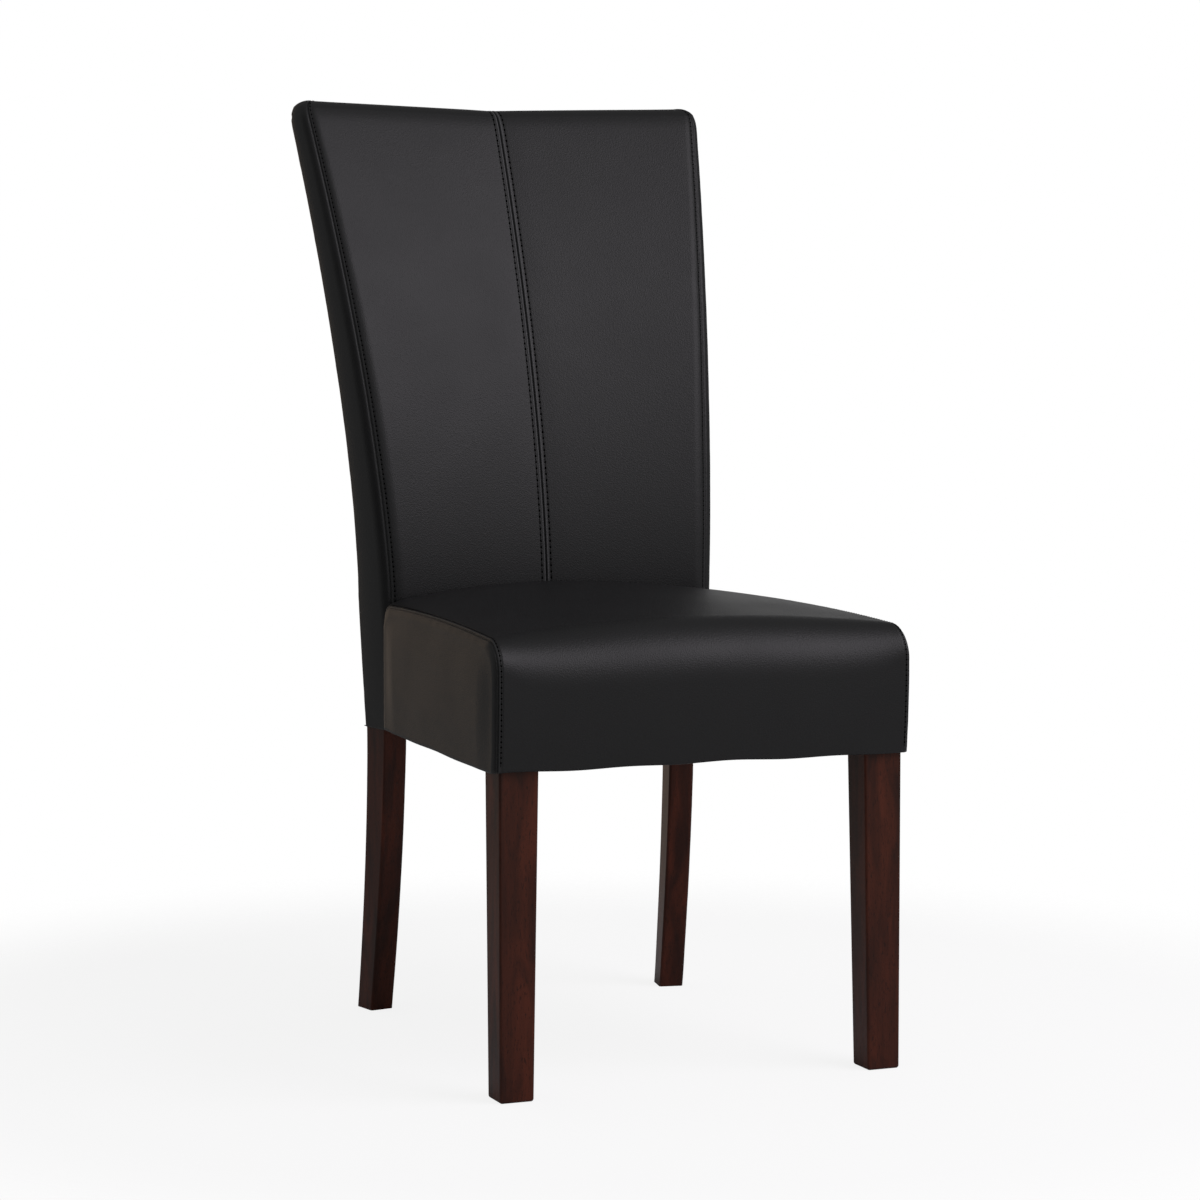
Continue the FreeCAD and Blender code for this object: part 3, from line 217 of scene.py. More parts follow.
@dataclass(frozen=True)
class Wood:
    """Wood with its grain along one axis: long streaks, short pores and a satin film."""

    name: str
    dark: str
    light: str
    pore: str
    roughness: float
    shine: float
    grain_axis: int = 2
    streak: float = 20 * MM
    pore_spacing: float = 1.4 * MM
    pore_depth: float = 0.06 * MM
    cloud: float = 22 * MM
    streak_squeeze: float = 0.06
    fleck_squeeze: float = 0.22

    def build(self) -> bpy.types.Material:
        """Build the material: streaks of two browns under dark pores and uneven stain.

        Returns:
            The material.
        """
        material, tree, shader, place = new_material(self.name)
        figures = []
        for squeeze in (self.streak_squeeze, self.fleck_squeeze):
            scale = [1.0, 1.0, 1.0]
            scale[self.grain_axis] = squeeze
            mapping = add_node(tree, "ShaderNodeMapping", {"Scale": scale}, {"Vector": place})
            figures.append(mapping.outputs["Vector"])
        streaks = add_node(tree, "ShaderNodeTexNoise",
                           {"Scale": 1 / self.streak, "Detail": 5.0, "Roughness": 0.6, "Distortion": 0.4},
                           {"Vector": figures[0]})
        colour = add_node(tree, "ShaderNodeValToRGB", links={"Fac": streaks.outputs["Fac"]},
                          steps=((0.32, linear(self.dark)), (0.72, linear(self.light)))).outputs["Color"]
        # pores are dark dashes, drawn coarser than real ones to show in the picture, and stain takes
        # unevenly, which shows as soft darker clouds along the grain
        pores = {"Scale": 1 / self.pore_spacing, "Detail": 2.0, "Roughness": 0.7}
        clouds = {"Scale": 1 / self.cloud, "Detail": 5.0, "Distortion": 0.8}
        masks = []
        for noise, clear, full, strength in ((pores, 0.56, 0.7, 0.7), (clouds, 0.42, 0.66, 0.75)):
            pattern = add_node(tree, "ShaderNodeTexNoise", noise, {"Vector": figures[1]})
            mask = add_node(tree, "ShaderNodeMapRange",
                            {"From Min": clear, "From Max": full, "To Max": strength},
                            {"Value": pattern.outputs["Fac"]})
            masks.append(mask.outputs["Result"])
            colour = add_node(tree, "ShaderNodeMix", {"data_type": "RGBA", 7: linear(self.pore)},
                              {0: masks[-1], 6: colour}).outputs[2]
        bump = add_node(tree, "ShaderNodeBump", {"Distance": self.pore_depth, "invert": True},
                        {"Height": masks[0]})
        set_up(tree, shader, {"Roughness": self.roughness, "Specular IOR Level": self.shine},
               {"Base Color": colour, "Normal": bump.outputs["Normal"]})
        return material


@dataclass(frozen=True)
class Cloth:
    """Plain fabric, matt all over: woven webbing shows its threads and bonded lining its fibres."""

    name: str
    colour: str
    shade: str
    spacing: float
    roughness: float = 0.9
    depth: float = 0.2 * MM
    woven: bool = True

    def build(self) -> bpy.types.Material:
        """Build the material: a matt surface with threads or fibres as wide as the spacing.

        Returns:
            The material.
        """
        material, tree, shader, place = new_material(self.name)
        # threads and fibres are drawn wider than real ones, to show in the picture
        if self.woven:
            # one wave holds two threads
            kind, settings = "ShaderNodeTexWave", {"Scale": WAVE_ACROSS / 2 / self.spacing, "Distortion": 1.5}
        else:
            kind, settings = "ShaderNodeTexNoise", {"Scale": 1 / self.spacing, "Detail": 4.0}
        texture = add_node(tree, kind, settings, {"Vector": place}).outputs["Fac"]
        colour = add_node(tree, "ShaderNodeValToRGB", links={"Fac": texture},
                          steps=((0.0, linear(self.shade)), (1.0, linear(self.colour))))
        bump = add_node(tree, "ShaderNodeBump", {"Distance": self.depth}, {"Height": texture})
        set_up(tree, shader, {"Roughness": self.roughness},
               {"Base Color": colour.outputs["Color"], "Normal": bump.outputs["Normal"]})
        return material


@dataclass(frozen=True)
class PlatedSteel:
    """Zinc-plated steel, barrel finished: grey, slightly cloudy and dull."""

    name: str = "plated_steel"
    colour: str = "b4b6b8"
    smoothest: float = 0.28
    roughest: float = 0.46
    crystal: float = 1.11 * MM

    def build(self) -> bpy.types.Material:
        """Build the material: the plating's crystals cloud the reflection.

        Returns:
            The material.
        """
        material, tree, shader, place = new_material(self.name)
        # real zinc crystals are far finer than 1 mm, so they are drawn coarser
        cloud = add_node(tree, "ShaderNodeTexNoise", {"Scale": 1 / self.crystal, "Detail": 2.0},
                         {"Vector": place})
        rough = add_node(tree, "ShaderNodeMapRange", {"To Min": self.smoothest, "To Max": self.roughest},
                         {"Value": cloud.outputs["Fac"]})
        set_up(tree, shader, {"Base Color": linear(self.colour), "Metallic": 1.0},
               {"Roughness": rough.outputs["Result"]})
        return material


class Finish(Enum):
    """The chair's finishes."""

    LEATHER = LeatherCloth()
    THREAD = Thread()
    # painted shade: a near-black matt patch stands for the shadow inside each needle hole
    NEEDLE_HOLE_SHADE = Thread("needle_hole_shadow", "010101", roughness=1.0, shine=0.0)
    LEG_WOOD = Wood("stained_leg_wood", "32170e", "592a1c", "1e0d08", 0.42, 0.16, pore_spacing=1.5 * MM)
    FRAME_WOOD = Wood("frame_softwood", "8a6a45", "b3905f", "6d5136", 0.6, 0.4, grain_axis=0)
    POST_WOOD = Wood("dowel_beech", "a8865c", "c5a577", "8a6a45", 0.55, 0.4, grain_axis=0)
    PANEL_WOOD = Wood("bent_board", "7d6242", "a08056", "64492f", 0.6, 0.4, grain_axis=0)
    LINING = Cloth("lining_cloth", "141414", "0b0b0b", 1.2 * MM, woven=False)
    WEBBING = Cloth("elastic_webbing", "6b5439", "4a3825", 2.0 * MM)
    STEEL = PlatedSteel()

    @property
    def material(self) -> bpy.types.Material:
        """The finish's material, built once."""
        return bpy.data.materials.get(self.value.name) or self.value.build()


# Nets of points

@dataclass
class Net:
    """Rows and columns of points on one surface. Its normals point to columns x rows, which is outwards."""

    points: np.ndarray
    wrapped: bool = False

    def normals(self) -> np.ndarray:
        """Unit normals at every point.

        Returns:
            Vectors in rows and columns like the points.
        """
        if self.wrapped:
            across = np.roll(self.points, -1, axis=1) - np.roll(self.points, 1, axis=1)
        else:
            across = np.gradient(self.points, axis=1)
        normal = np.cross(across, np.gradient(self.points, axis=0))
        length = np.linalg.norm(normal, axis=2, keepdims=True)
        return normal / np.maximum(length, 1e-12)

    def push(self, distance: np.ndarray) -> None:
        """Move every point along its normal.

        Args:
            distance: metres for each row and column, positive outwards.
        """
        self.points = self.points + self.normals() * distance[..., None]

    def girth(self) -> np.ndarray:
        """Distance along each row from its first column, in metres."""
        steps = np.linalg.norm(np.diff(self.points, axis=1), axis=2)
        return np.concatenate([np.zeros((len(steps), 1)), np.cumsum(steps, axis=1)], axis=1)

    def climb(self) -> np.ndarray:
        """Distance along each column from its first row, in metres."""
        steps = np.linalg.norm(np.diff(self.points, axis=0), axis=2)
        return np.concatenate([np.zeros((1, steps.shape[1])), np.cumsum(steps, axis=0)], axis=0)

    def faces(self, offset: int = 0) -> list[tuple[int, ...]]:
        """Quads between neighbouring points, as vertex numbers.

        Args:
            offset: number of the net's first vertex.

        Returns:
            One tuple of four numbers for each quad.
        """
        rows, columns = self.points.shape[:2]
        last = columns if self.wrapped else columns - 1
        grid = np.arange(rows * columns).reshape(rows, columns) + offset
        right = np.roll(grid, -1, axis=1)
        quads = np.stack([grid[:-1, :last], right[:-1, :last], right[1:, :last], grid[1:, :last]], axis=-1)
        return [tuple(quad) for quad in quads.reshape(-1, 4).tolist()]


@dataclass(frozen=True)
class Swell:
    """Smooth uneven swell of a soft surface, the same each run."""

    size: float
    shortest: float
    longest: float
    seed: int
    waves: int = 24

    def height(self, points: np.ndarray) -> np.ndarray:
        """Height of the swell.

        Args:
            points: places in metres.

        Returns:
            A height for each place.
        """
        chance = np.random.default_rng(self.seed)
        total = np.zeros(points.shape[:-1])
        for _ in range(self.waves):
            direction = chance.normal(size=3)
            direction /= np.linalg.norm(direction)
            wave = chance.uniform(self.shortest, self.longest)
            phase = chance.uniform(0, 2 * math.pi)
            total += np.cos(points @ direction * (2 * math.pi / wave) + phase)
        return self.size * total / math.sqrt(self.waves)


def ridge(distance: np.ndarray, height: float, width: float) -> np.ndarray:
    """Round ridge along a line, or a groove where its height is negative."""
    return height * np.exp(-(distance / width) ** 2)


def smooth(share: np.ndarray) -> np.ndarray:
    """Ease a share from 0 to 1 in and out."""
    return share * share * (3 - 2 * share)


def weld(piece: bpy.types.Object, reach: float = 0.02 * MM) -> None:
    """Join points that lie on each other and turn all faces outwards.

    Args:
        piece: the piece, which is changed.
        reach: how far apart joined points may lie.
    """
    mesh = bmesh.new()
    mesh.from_mesh(piece.data)
    bmesh.ops.remove_doubles(mesh, verts=mesh.verts, dist=reach)
    bmesh.ops.recalc_face_normals(mesh, faces=mesh.faces)
    mesh.to_mesh(piece.data)
    mesh.free()
    piece.data.shade_smooth()


def build_mesh(name: str, vertices: np.ndarray, faces: Sequence[Sequence[int]], finish: Finish) -> bpy.types.Object:
    """Make a smooth-shaded object.

    Args:
        name: the piece's name.
        vertices: points, any shape whose last size is three.
        faces: vertex numbers of each face.
        finish: what it is made of.

    Returns:
        The new object, riding on the chair.
    """
    mesh = bpy.data.meshes.new(name)
    mesh.from_pydata(vertices.reshape(-1, 3).tolist(), [], faces)
    mesh.validate()
    mesh.materials.append(finish.material)
    mesh.shade_smooth()
    piece = bpy.data.objects.new(name, mesh)
    bpy.context.scene.collection.objects.link(piece)
    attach(piece, ROOT)
    log.info("%s: %d points", name, len(mesh.vertices))
    return piece


def mark_seam_highlight(piece: bpy.types.Object, seam_highlight: np.ndarray) -> None:
    """Store the share of painted seam highlight at each point, from 0 to 1."""
    attribute = piece.data.attributes.new(SEAM_HIGHLIGHT, "FLOAT", "POINT")
    attribute.data.foreach_set("value", seam_highlight.astype(np.float32))


# Sewing

@dataclass(frozen=True)
class Seam:
    """A seam that is sewn down beside itself: its stitches and its section across.

    The section has a groove at the seam, a lip on the sewn side, a low ridge on the other side and a
    shallow groove under the stitches. Places are distances from the seam, and hole is a radius.
    """

    row: float
    pitch: float = 5.5 * MM
    stitch: float = 3.6 * MM
    hole: float = 1.1 * MM
    groove_depth: float = 1.5 * MM
    groove_width: float = 0.7 * MM
    lip: float = 1.9 * MM
    lip_height: float = 0.55 * MM
    lip_width: float = 1.0 * MM
    lip_pull: float = 0.35
    outer_lip: float = -1.6 * MM
    outer_height: float = 0.1 * MM
    outer_width: float = 1.1 * MM
    row_depth: float = 0.2 * MM
    row_width: float = 0.9 * MM
    # painted highlight on the lip: its strength and its distance from the seam
    seam_highlight: float = 0.3
    highlight_place: float = 1.8 * MM

    def height(self, inward: np.ndarray, climb: np.ndarray) -> np.ndarray:
        """Height of the cover beside the seam.

        Args:
            inward: distance from the seam towards the panel that carries the row.
            climb: distance along the seam.

        Returns:
            A height for each place.
        """
        # the thread pulls most at its needle holes and least between them
        pull = 0.5 + 0.5 * np.cos(climb * 2 * math.pi / self.pitch)
        height = ridge(inward, -self.groove_depth, self.groove_width)
        height += ridge(inward - self.lip, self.lip_height, self.lip_width) * (1 - self.lip_pull * pull)
        height += ridge(inward - self.outer_lip, self.outer_height, self.outer_width)
        height += ridge(inward - self.row, -self.row_depth, self.row_width) * (1 + pull)
        return height

    def highlight_share(self, inward: np.ndarray) -> np.ndarray:
        """Share of painted highlight beside the seam, from 0 to 1, standing for the light on the lip."""
        return ridge(inward - self.highlight_place, self.seam_highlight, self.lip_width)


@dataclass
class StitchRow:
    """One row of lockstitches along a line that lies on a surface."""

    line: np.ndarray
    normal: np.ndarray
    travel: np.ndarray
    seam: Seam

    def at(self, values: np.ndarray, along: float) -> np.ndarray:
        """Value of the line or its normal at a distance along the row."""
        return np.array([np.interp(along, self.travel, values[:, axis]) for axis in range(3)])

    def places(self) -> list[tuple[np.ndarray, np.ndarray, np.ndarray, np.ndarray]]:
        """Find where the stitches lie.

        Returns:
            Middle, direction and normal of each stitch, and the place of the needle hole after it.
        """
        pitch, reach = self.seam.pitch, self.seam.stitch / 2
        result = []
        for number in range(math.ceil(self.travel[0] / pitch), int(self.travel[-1] / pitch)):
            middle = (number + 0.5) * pitch
            direction = self.at(self.line, middle + reach) - self.at(self.line, middle - reach)
            normal = self.at(self.normal, middle)
            result.append((self.at(self.line, middle), direction / np.linalg.norm(direction),
                           normal / np.linalg.norm(normal), self.at(self.line, middle + pitch / 2)))
        return result


@dataclass
class Needlework:
    """The threads of some stitch rows and the painted shade of their needle holes, gathered into one piece."""

    thickness: float = 0.9 * MM
    sides: int = 6
    rings: int = 5
    # shares of the thickness: how high the thread's middle stands, how far its ends dip and how thin they get
    crown: float = 0.28
    dip: float = 0.75
    taper: float = 0.9
    hole_sides: int = 8
    hole_squeeze: float = 0.85
    hole_rim: float = 0.25 * MM
    hole_top: float = 0.4 * MM
    hole_foot: float = 0.6 * MM
    vertices: list[np.ndarray] = field(default_factory=list)
    faces: list[tuple[int, ...]] = field(default_factory=list)
    hole_faces: list[int] = field(default_factory=list)

    def add_thread(self, middle: np.ndarray, direction: np.ndarray, normal: np.ndarray,
                   length: float) -> None:
        """Add the part of a stitch that is in view: a thread that arches up out of the cover.

        Args:
            middle: its middle on the cover.
            direction: unit vector along it.
            normal: unit vector out of the cover.
            length: how long it is.
        """
        across = np.cross(direction, normal)
        first = len(self.vertices)
        for ring in range(self.rings):
            share = 2 * ring / (self.rings - 1) - 1
            radius = self.thickness / 2 * math.sqrt(1 - self.taper * share ** 4)
            height = self.thickness * (self.crown - self.dip * share ** 4)
            centre = middle + direction * share * length / 2 + normal * height
            for side in range(self.sides):
                turn = 2 * math.pi * side / self.sides
                self.vertices.append(centre + radius * (across * math.cos(turn) + normal * math.sin(turn)))
        for near in range(first, first + (self.rings - 1) * self.sides, self.sides):
            far = near + self.sides
            for side in range(self.sides):
                after = (side + 1) % self.sides
                self.faces.append((near + after, near + side, far + side, far + after))
        last = first + (self.rings - 1) * self.sides
        self.faces.append(tuple(range(first, first + self.sides)))
        self.faces.append(tuple(reversed(range(last, last + self.sides))))

    def add_hole(self, place: np.ndarray, direction: np.ndarray, normal: np.ndarray,
                 radius: float) -> None:
        """Add a near-black patch of painted shade that stands for the shadow inside a needle hole.

        Args:
            place: its place on the cover.
            direction: unit vector along the row.
            normal: unit vector out of the cover.
            radius: half its length.
        """
        across = np.cross(direction, normal)
        first = len(self.vertices)
        for turn in np.linspace(0, 2 * math.pi, self.hole_sides + 1)[:-1]:
            reach = direction * math.cos(turn) + across * math.sin(turn) * self.hole_squeeze
            self.vertices.append(place + reach * radius + normal * self.hole_rim)
        top, foot = len(self.vertices), len(self.vertices) + 1
        self.vertices += [place + normal * self.hole_top, place - normal * self.hole_foot]
        for side in range(self.hole_sides):
            near, after = first + side, first + (side + 1) % self.hole_sides
            self.hole_faces += [len(self.faces), len(self.faces) + 1]
            self.faces += [(after, near, top), (near, after, foot)]

    def build(self, name: str, rows: Sequence[StitchRow]) -> None:
        """Sew some rows as one piece.

        Args:
            name: the piece's name.
            rows: the rows to sew.
        """
        for row in rows:
            for middle, direction, normal, hole in row.places():
                self.add_thread(middle, direction, normal, row.seam.stitch)
                self.add_hole(hole, direction, normal, row.seam.hole)
        piece = build_mesh(name, np.array(self.vertices), self.faces, Finish.THREAD)
        piece.data.materials.append(Finish.NEEDLE_HOLE_SHADE.material)
        for number in self.hole_faces:
            piece.data.polygons[number].material_index = 1


# The back

class Zone(Enum):
    """Stretches of the back's outline on one side, from the middle of the front to the middle of the rear."""

    FRONT = "front"
    FRONT_CORNER = "front corner"
    SIDE = "side"
    REAR_CORNER = "rear corner"
    REAR = "rear"


@dataclass(frozen=True)
class Column:
    """A place on the outline: an offset in metres plus a share of its zone's length."""

    zone: Zone
    offset: float
    share: float


@dataclass
class Back:
    """The padded back: two front panels over the top, boxed sides and a rear panel."""

    # heights, and the half widths, front face and depths that go with them
    base: float = 330 * MM
    seat_level: float = 480 * MM
    top: float = 1037.5 * MM
    base_half: float = 187.2 * MM
    seat_half: float = 196.2 * MM
    top_half: float = 243.6 * MM
    face: float = 110.5 * MM
    lean: float = 154.5 * MM
    lean_power: float = 1.6
    flare_power: float = 1.3
    base_depth: float = 82 * MM
    seat_depth: float = 77 * MM
    # half the angle that the hollow front face turns through, and how far its edges rise above its middle
    barrel: float = math.radians(11)
    dish: float = 5.5 * MM
    rear_limit: float = 326.5 * MM
    front_radius: float = 31.5 * MM
    rear_radius: float = 18 * MM
    side_radius: float = 17 * MM
    edge_radius: float = 20 * MM
    rear_edge_radius: float = 11 * MM
    # the largest share of the depth that an edge radius takes
    edge_limit: float = 0.3
    row_step: float = 1.5 * MM
    crown_rows: int = 26
    crown_turn: float = math.radians(87)
    blend_rows: int = 8
    blend_passes: int = 60
    # steps of the columns beside the middle seam, in millimetres
    near_middle: tuple[float, ...] = (0.0, 0.3, 0.6, 0.9, 1.2, 1.5, 1.8, 2.1, 2.4, 2.8, 3.3, 3.9, 4.5, 5.1,
                                      5.6, 6.1, 6.7, 7.6, 9.5)
    near_edge: tuple[float, ...] = (2.5, 1.7, 0.8)
    panel_points: int = 26
    corner_points: int = 27
    side_points: int = 14
    rear_corner_points: int = 17
    # how far round the rounded edge, from the front, the edge seam lies
    seam_turn: float = math.radians(50)
    # the seam lips get painted highlight: full along the middle seam, a quarter along the edge seams
    middle: Seam = Seam(row=5.6 * MM, pitch=7.0 * MM, stitch=4.6 * MM, hole=1.6 * MM, groove_depth=1.2 * MM,
                        groove_width=0.5 * MM, lip=2.1 * MM, lip_height=0.6 * MM, lip_width=0.85 * MM,
                        lip_pull=0.0, outer_height=0.0, seam_highlight=1.0, highlight_place=2.1 * MM)
    middle_dip: float = 0.6 * MM
    middle_dip_width: float = 16 * MM
    edge: Seam = Seam(row=4.3 * MM, seam_highlight=0.25)
    cross_depth: float = 1.1 * MM
    cross_width: float = 1.6 * MM
    # padding of the front, side and rear panels, drawn flat at the hem and where the sides are narrow
    puff: float = 2.2 * MM
    side_puff: float = 4.6 * MM
    rear_puff: float = 1.5 * MM
    puff_power: float = 0.6
    full_puff_depth: float = 40 * MM
    hem_pull: float = 60 * MM
    # share of padding and seams that is left at the very top, and the distance below it that adds a whole one
    crown_share: float = 0.3
    crown_pull: float = 3 * MM
    slack: Swell = Swell(0.08 * MM, 110 * MM, 300 * MM, seed=11)
    pucker: Swell = Swell(0.1 * MM, 14 * MM, 36 * MM, seed=5)
    pucker_reach: float = 14 * MM
    # how far in and how far above the base each row of the turned-in hem lies
    hem_rows: tuple[tuple[float, float], ...] = ((9 * MM, 0.6 * MM), (3 * MM, -0.4 * MM),
                                                 (0.8 * MM, 0.2 * MM))
    # rows between which the seams are sewn, without the turned-in hem and the top of the crown
    sewn: tuple[int, int] = (4, -2)
    columns: list[Column] = field(default_factory=list)

    def __post_init__(self) -> None:
        """Lay out the columns of the right half, close together at the seams."""
        start, stop = self.near_middle[-1], self.near_edge[0]
        front = [Column(Zone.FRONT, step * MM, 0.0) for step in self.near_middle]
        front += [Column(Zone.FRONT, (start - (start + stop) * share) * MM, share)
                  for share in np.linspace(0, 1, self.panel_points)[1:-1]]
        front += [Column(Zone.FRONT, -step * MM, 1.0) for step in self.near_edge]
        corner = [Column(Zone.FRONT_CORNER, 0.0, share)
                  for share in np.linspace(0, 1, self.corner_points)[:-1]]
        side = [Column(Zone.SIDE, 0.0, share) for share in smooth(np.linspace(0, 1, self.side_points))]
        rear_corner = [Column(Zone.REAR_CORNER, 0.0, share)
                       for share in np.linspace(0, 1, self.rear_corner_points)[1:]]
        rear = [Column(Zone.REAR, column.offset, column.share) for column in reversed(front)]
        self.columns = front + corner + side + rear_corner + rear

    def in_zones(self, *zones: Zone) -> np.ndarray:
        """Whether each column lies in one of some zones, as one row of a net."""
        return np.array([column.zone in zones for column in self.columns])[None, :]

    def above_seat(self, level: float) -> float:
        """Share of the way from the seat to the top."""
        return max(0.0, (level - self.seat_level) / (self.top - self.seat_level))

    def half_width(self, level: float) -> float:
        """Half the width of the front face.

        Args:
            level: height above the floor.

        Returns:
            Metres from the middle to the side.
        """
        below = min(1.0, (level - self.base) / (self.seat_level - self.base))
        low = self.base_half + (self.seat_half - self.base_half) * below
        return low + (self.top_half - self.seat_half) * self.above_seat(level) ** self.flare_power

    def sections(self) -> np.ndarray:
        """Work out the size of every row, from the base up and over the crown.

        Returns:
            Level, half width, front edge, depth and edge lift of each row.
        """
        rear = self.rear_radius
        start = self.top - rear
        crown_depth = math.sqrt(2 * self.front_radius * rear - rear ** 2) + rear
        rows = []
        count = int((start - self.base) / self.row_step)
        for level in np.linspace(self.base, start, count)[:-1]:
            if level <= self.seat_level:
                share = (level - self.base) / (self.seat_level - self.base)
                depth = self.base_depth + (self.seat_depth - self.base_depth) * share
            else:
                share = (level - self.seat_level) / (start - self.seat_level)
                depth = self.seat_depth + (crown_depth - self.seat_depth) * share
            front = self.face + self.lean * self.above_seat(level) ** self.lean_power
            lift = self.dish * (level - self.base) / (start - self.base)
            rows.append((level, self.half_width(level), front, depth, lift))
        centre = self.rear_limit - rear
        for turn in np.linspace(0, self.crown_turn, self.crown_rows):
            drop = rear * (1 - math.sin(turn))
            ahead = math.sqrt(2 * self.front_radius * drop - drop ** 2)
            level = self.top - drop
            side_drop = max(0.0, self.side_radius - drop)
            rounded = math.sqrt(self.side_radius ** 2 - side_drop ** 2)
            half = self.half_width(level) - self.side_radius + rounded
            front = centre - ahead - half * math.tan(self.barrel / 2)
            rows.append((level, half, front, ahead + rear * math.cos(turn), self.dish))
        return np.array(rows)

    def outline_point(self, column: Column, radius: np.ndarray,
                      depth: np.ndarray) -> tuple[np.ndarray, np.ndarray]:
        """Radius and angle of a column on every row.

        Args:
            column: the place on the outline.
            radius: radius of the front face on each row.
            depth: depth of the back on each row.

        Returns:
            Radii and angles, one for each row.
        """
        soft = np.minimum(self.edge_radius, self.edge_limit * depth)
        rear_soft = np.minimum(self.rear_edge_radius, self.edge_limit * depth)
        far = radius + depth
        turn = column.share * math.pi / 2
        sunk, advanced = 1 - math.sin(turn), 1 - math.cos(turn)
        if column.zone is Zone.FRONT:
            length = radius * self.barrel - soft
            return radius, (column.offset + column.share * length) / radius
        if column.zone is Zone.REAR:
            length = far * self.barrel - rear_soft
            return far, (column.offset + column.share * length) / far
        if column.zone is Zone.FRONT_CORNER:
            return radius + soft * advanced, self.barrel - soft / radius * sunk
        if column.zone is Zone.REAR_CORNER:
            return far - rear_soft * sunk, self.barrel - rear_soft / far * advanced
        flat = depth - soft - rear_soft
        return radius + soft + column.share * flat, np.full_like(radius, self.barrel)

    def half_net(self) -> Net:
        """Lay out the right half, before padding and seams.

        Returns:
            A net with a row for each section and a column for each place on the outline.
        """
        level, half, front, depth, lift = self.sections().T
        radius = half / math.sin(self.barrel)
        centre = front - radius * math.cos(self.barrel)
        lines = []
        for column in self.columns:
            reach, angle = self.outline_point(column, radius, depth)
            across, ahead = reach * np.sin(angle), reach * np.cos(angle)
            lines.append(np.stack([across, centre + ahead, level + lift * across / half], axis=1))
        net = Net(np.stack(lines, axis=1))
        # the bend from the leaning back into the crown is eased over some rows
        first = len(level) - self.crown_rows - self.blend_rows
        last = first + 2 * self.blend_rows + 2
        for _ in range(self.blend_passes):
            near = net.points[first:last]
            net.points[first + 1:last - 1] = (near[:-2] + 2 * near[1:-1] + near[2:]) / 4
        return net

    def seam_lines(self, girth: np.ndarray) -> tuple[np.ndarray, np.ndarray]:
        """Distances of the front and the rear edge seam from the middle of the front.

        Args:
            girth: distance along each row.

        Returns:
            Two columns with a distance for each row.
        """
        share = self.seam_turn / (math.pi / 2)
        lines = []
        for zone, turn in ((Zone.FRONT_CORNER, share), (Zone.REAR_CORNER, 1 - share)):
            corner = np.flatnonzero(self.in_zones(zone))
            column = corner[0] + round(len(corner) * turn)
            lines.append(girth[:, column:column + 1])
        return lines[0], lines[1]

    def padding(self, girth: np.ndarray, climb: np.ndarray, front_seam: np.ndarray,
                rear_seam: np.ndarray) -> np.ndarray:
        """How far the foam pushes the panels out between their seams.

        Args:
            girth: distance along each row.
            climb: distance along each column.
            front_seam: place of the front edge seam on each row.
            rear_seam: place of the rear edge seam on each row.

        Returns:
            A height for each point.
        """
        panels = ((np.zeros_like(front_seam), front_seam, self.puff), (front_seam, rear_seam, self.side_puff),
                  (rear_seam, 2 * girth[:, -1:] - rear_seam, self.rear_puff))
        rise = np.zeros_like(girth)
        for low, high, puff in panels:
            share = np.clip((girth - low) / np.maximum(high - low, 1e-6), 0, 1)
            inside = (girth >= low) & (girth <= high)
            rise += np.where(inside, puff * np.sin(math.pi * share) ** self.puff_power, 0)
        drawn = np.minimum(1.0, (rear_seam - front_seam) / self.full_puff_depth)
        return rise * drawn * (1 - np.exp(-climb / self.hem_pull))

    def dress(self, net: Net) -> tuple[dict[str, int], np.ndarray, np.ndarray]:
        """Pad the panels and draw the cover in at its seams.

        Args:
            net: the right half, which is changed.

        Returns:
            The columns that the stitch rows follow, the distances along all columns, and the share of painted seam
            highlight.
        """
        girth, climb = net.girth(), net.climb()
        front_seam, rear_seam = self.seam_lines(girth)
        change = self.padding(girth, climb, front_seam, rear_seam) + self.slack.height(net.points)
        crown = len(climb) - self.crown_rows
        on_crown = np.arange(len(climb))[:, None] >= crown
        over_rear = self.in_zones(Zone.REAR) & on_crown
        front_panel = self.in_zones(Zone.FRONT) | over_rear
        middle = np.where(over_rear, girth[:, -1:] - girth, girth)
        profile = self.middle.height(middle, climb) + ridge(middle, -self.middle_dip, self.middle_dip_width)
        change += np.where(front_panel, profile, 0)
        # painted highlight along the lips of the middle seam
        seam_highlight = np.where(front_panel, self.middle.highlight_share(middle), 0)
        for inward in (front_seam - girth, girth - rear_seam):
            change += self.edge.height(inward, climb)
            change += self.pucker.height(net.points) * ridge(inward, 1.0, self.pucker_reach)
            seam_highlight += self.edge.highlight_share(inward)
        cross_seam = ridge(climb - climb[crown], -self.cross_depth, self.cross_width)
        change += np.where(self.in_zones(Zone.REAR, Zone.REAR_CORNER), cross_seam, 0)
        net.push(change * np.clip((climb[-1:] - climb) / self.crown_pull + self.crown_share, 0, 1))
        offsets = np.array([column.offset for column in self.columns])
        return {
            "middle": int(np.argmin(np.abs(offsets - self.middle.row))),
            "front_edge": self.nearest(girth, front_seam, -self.edge.row),
            "rear_edge": self.nearest(girth, rear_seam, self.edge.row),
        }, climb, seam_highlight

    @staticmethod
    def nearest(girth: np.ndarray, seam: np.ndarray, offset: float) -> int:
        """Column that lies nearest to a line beside a seam, at half height."""
        row = len(girth) // 2
        return int(np.argmin(np.abs(girth[row] - seam[row] - offset)))

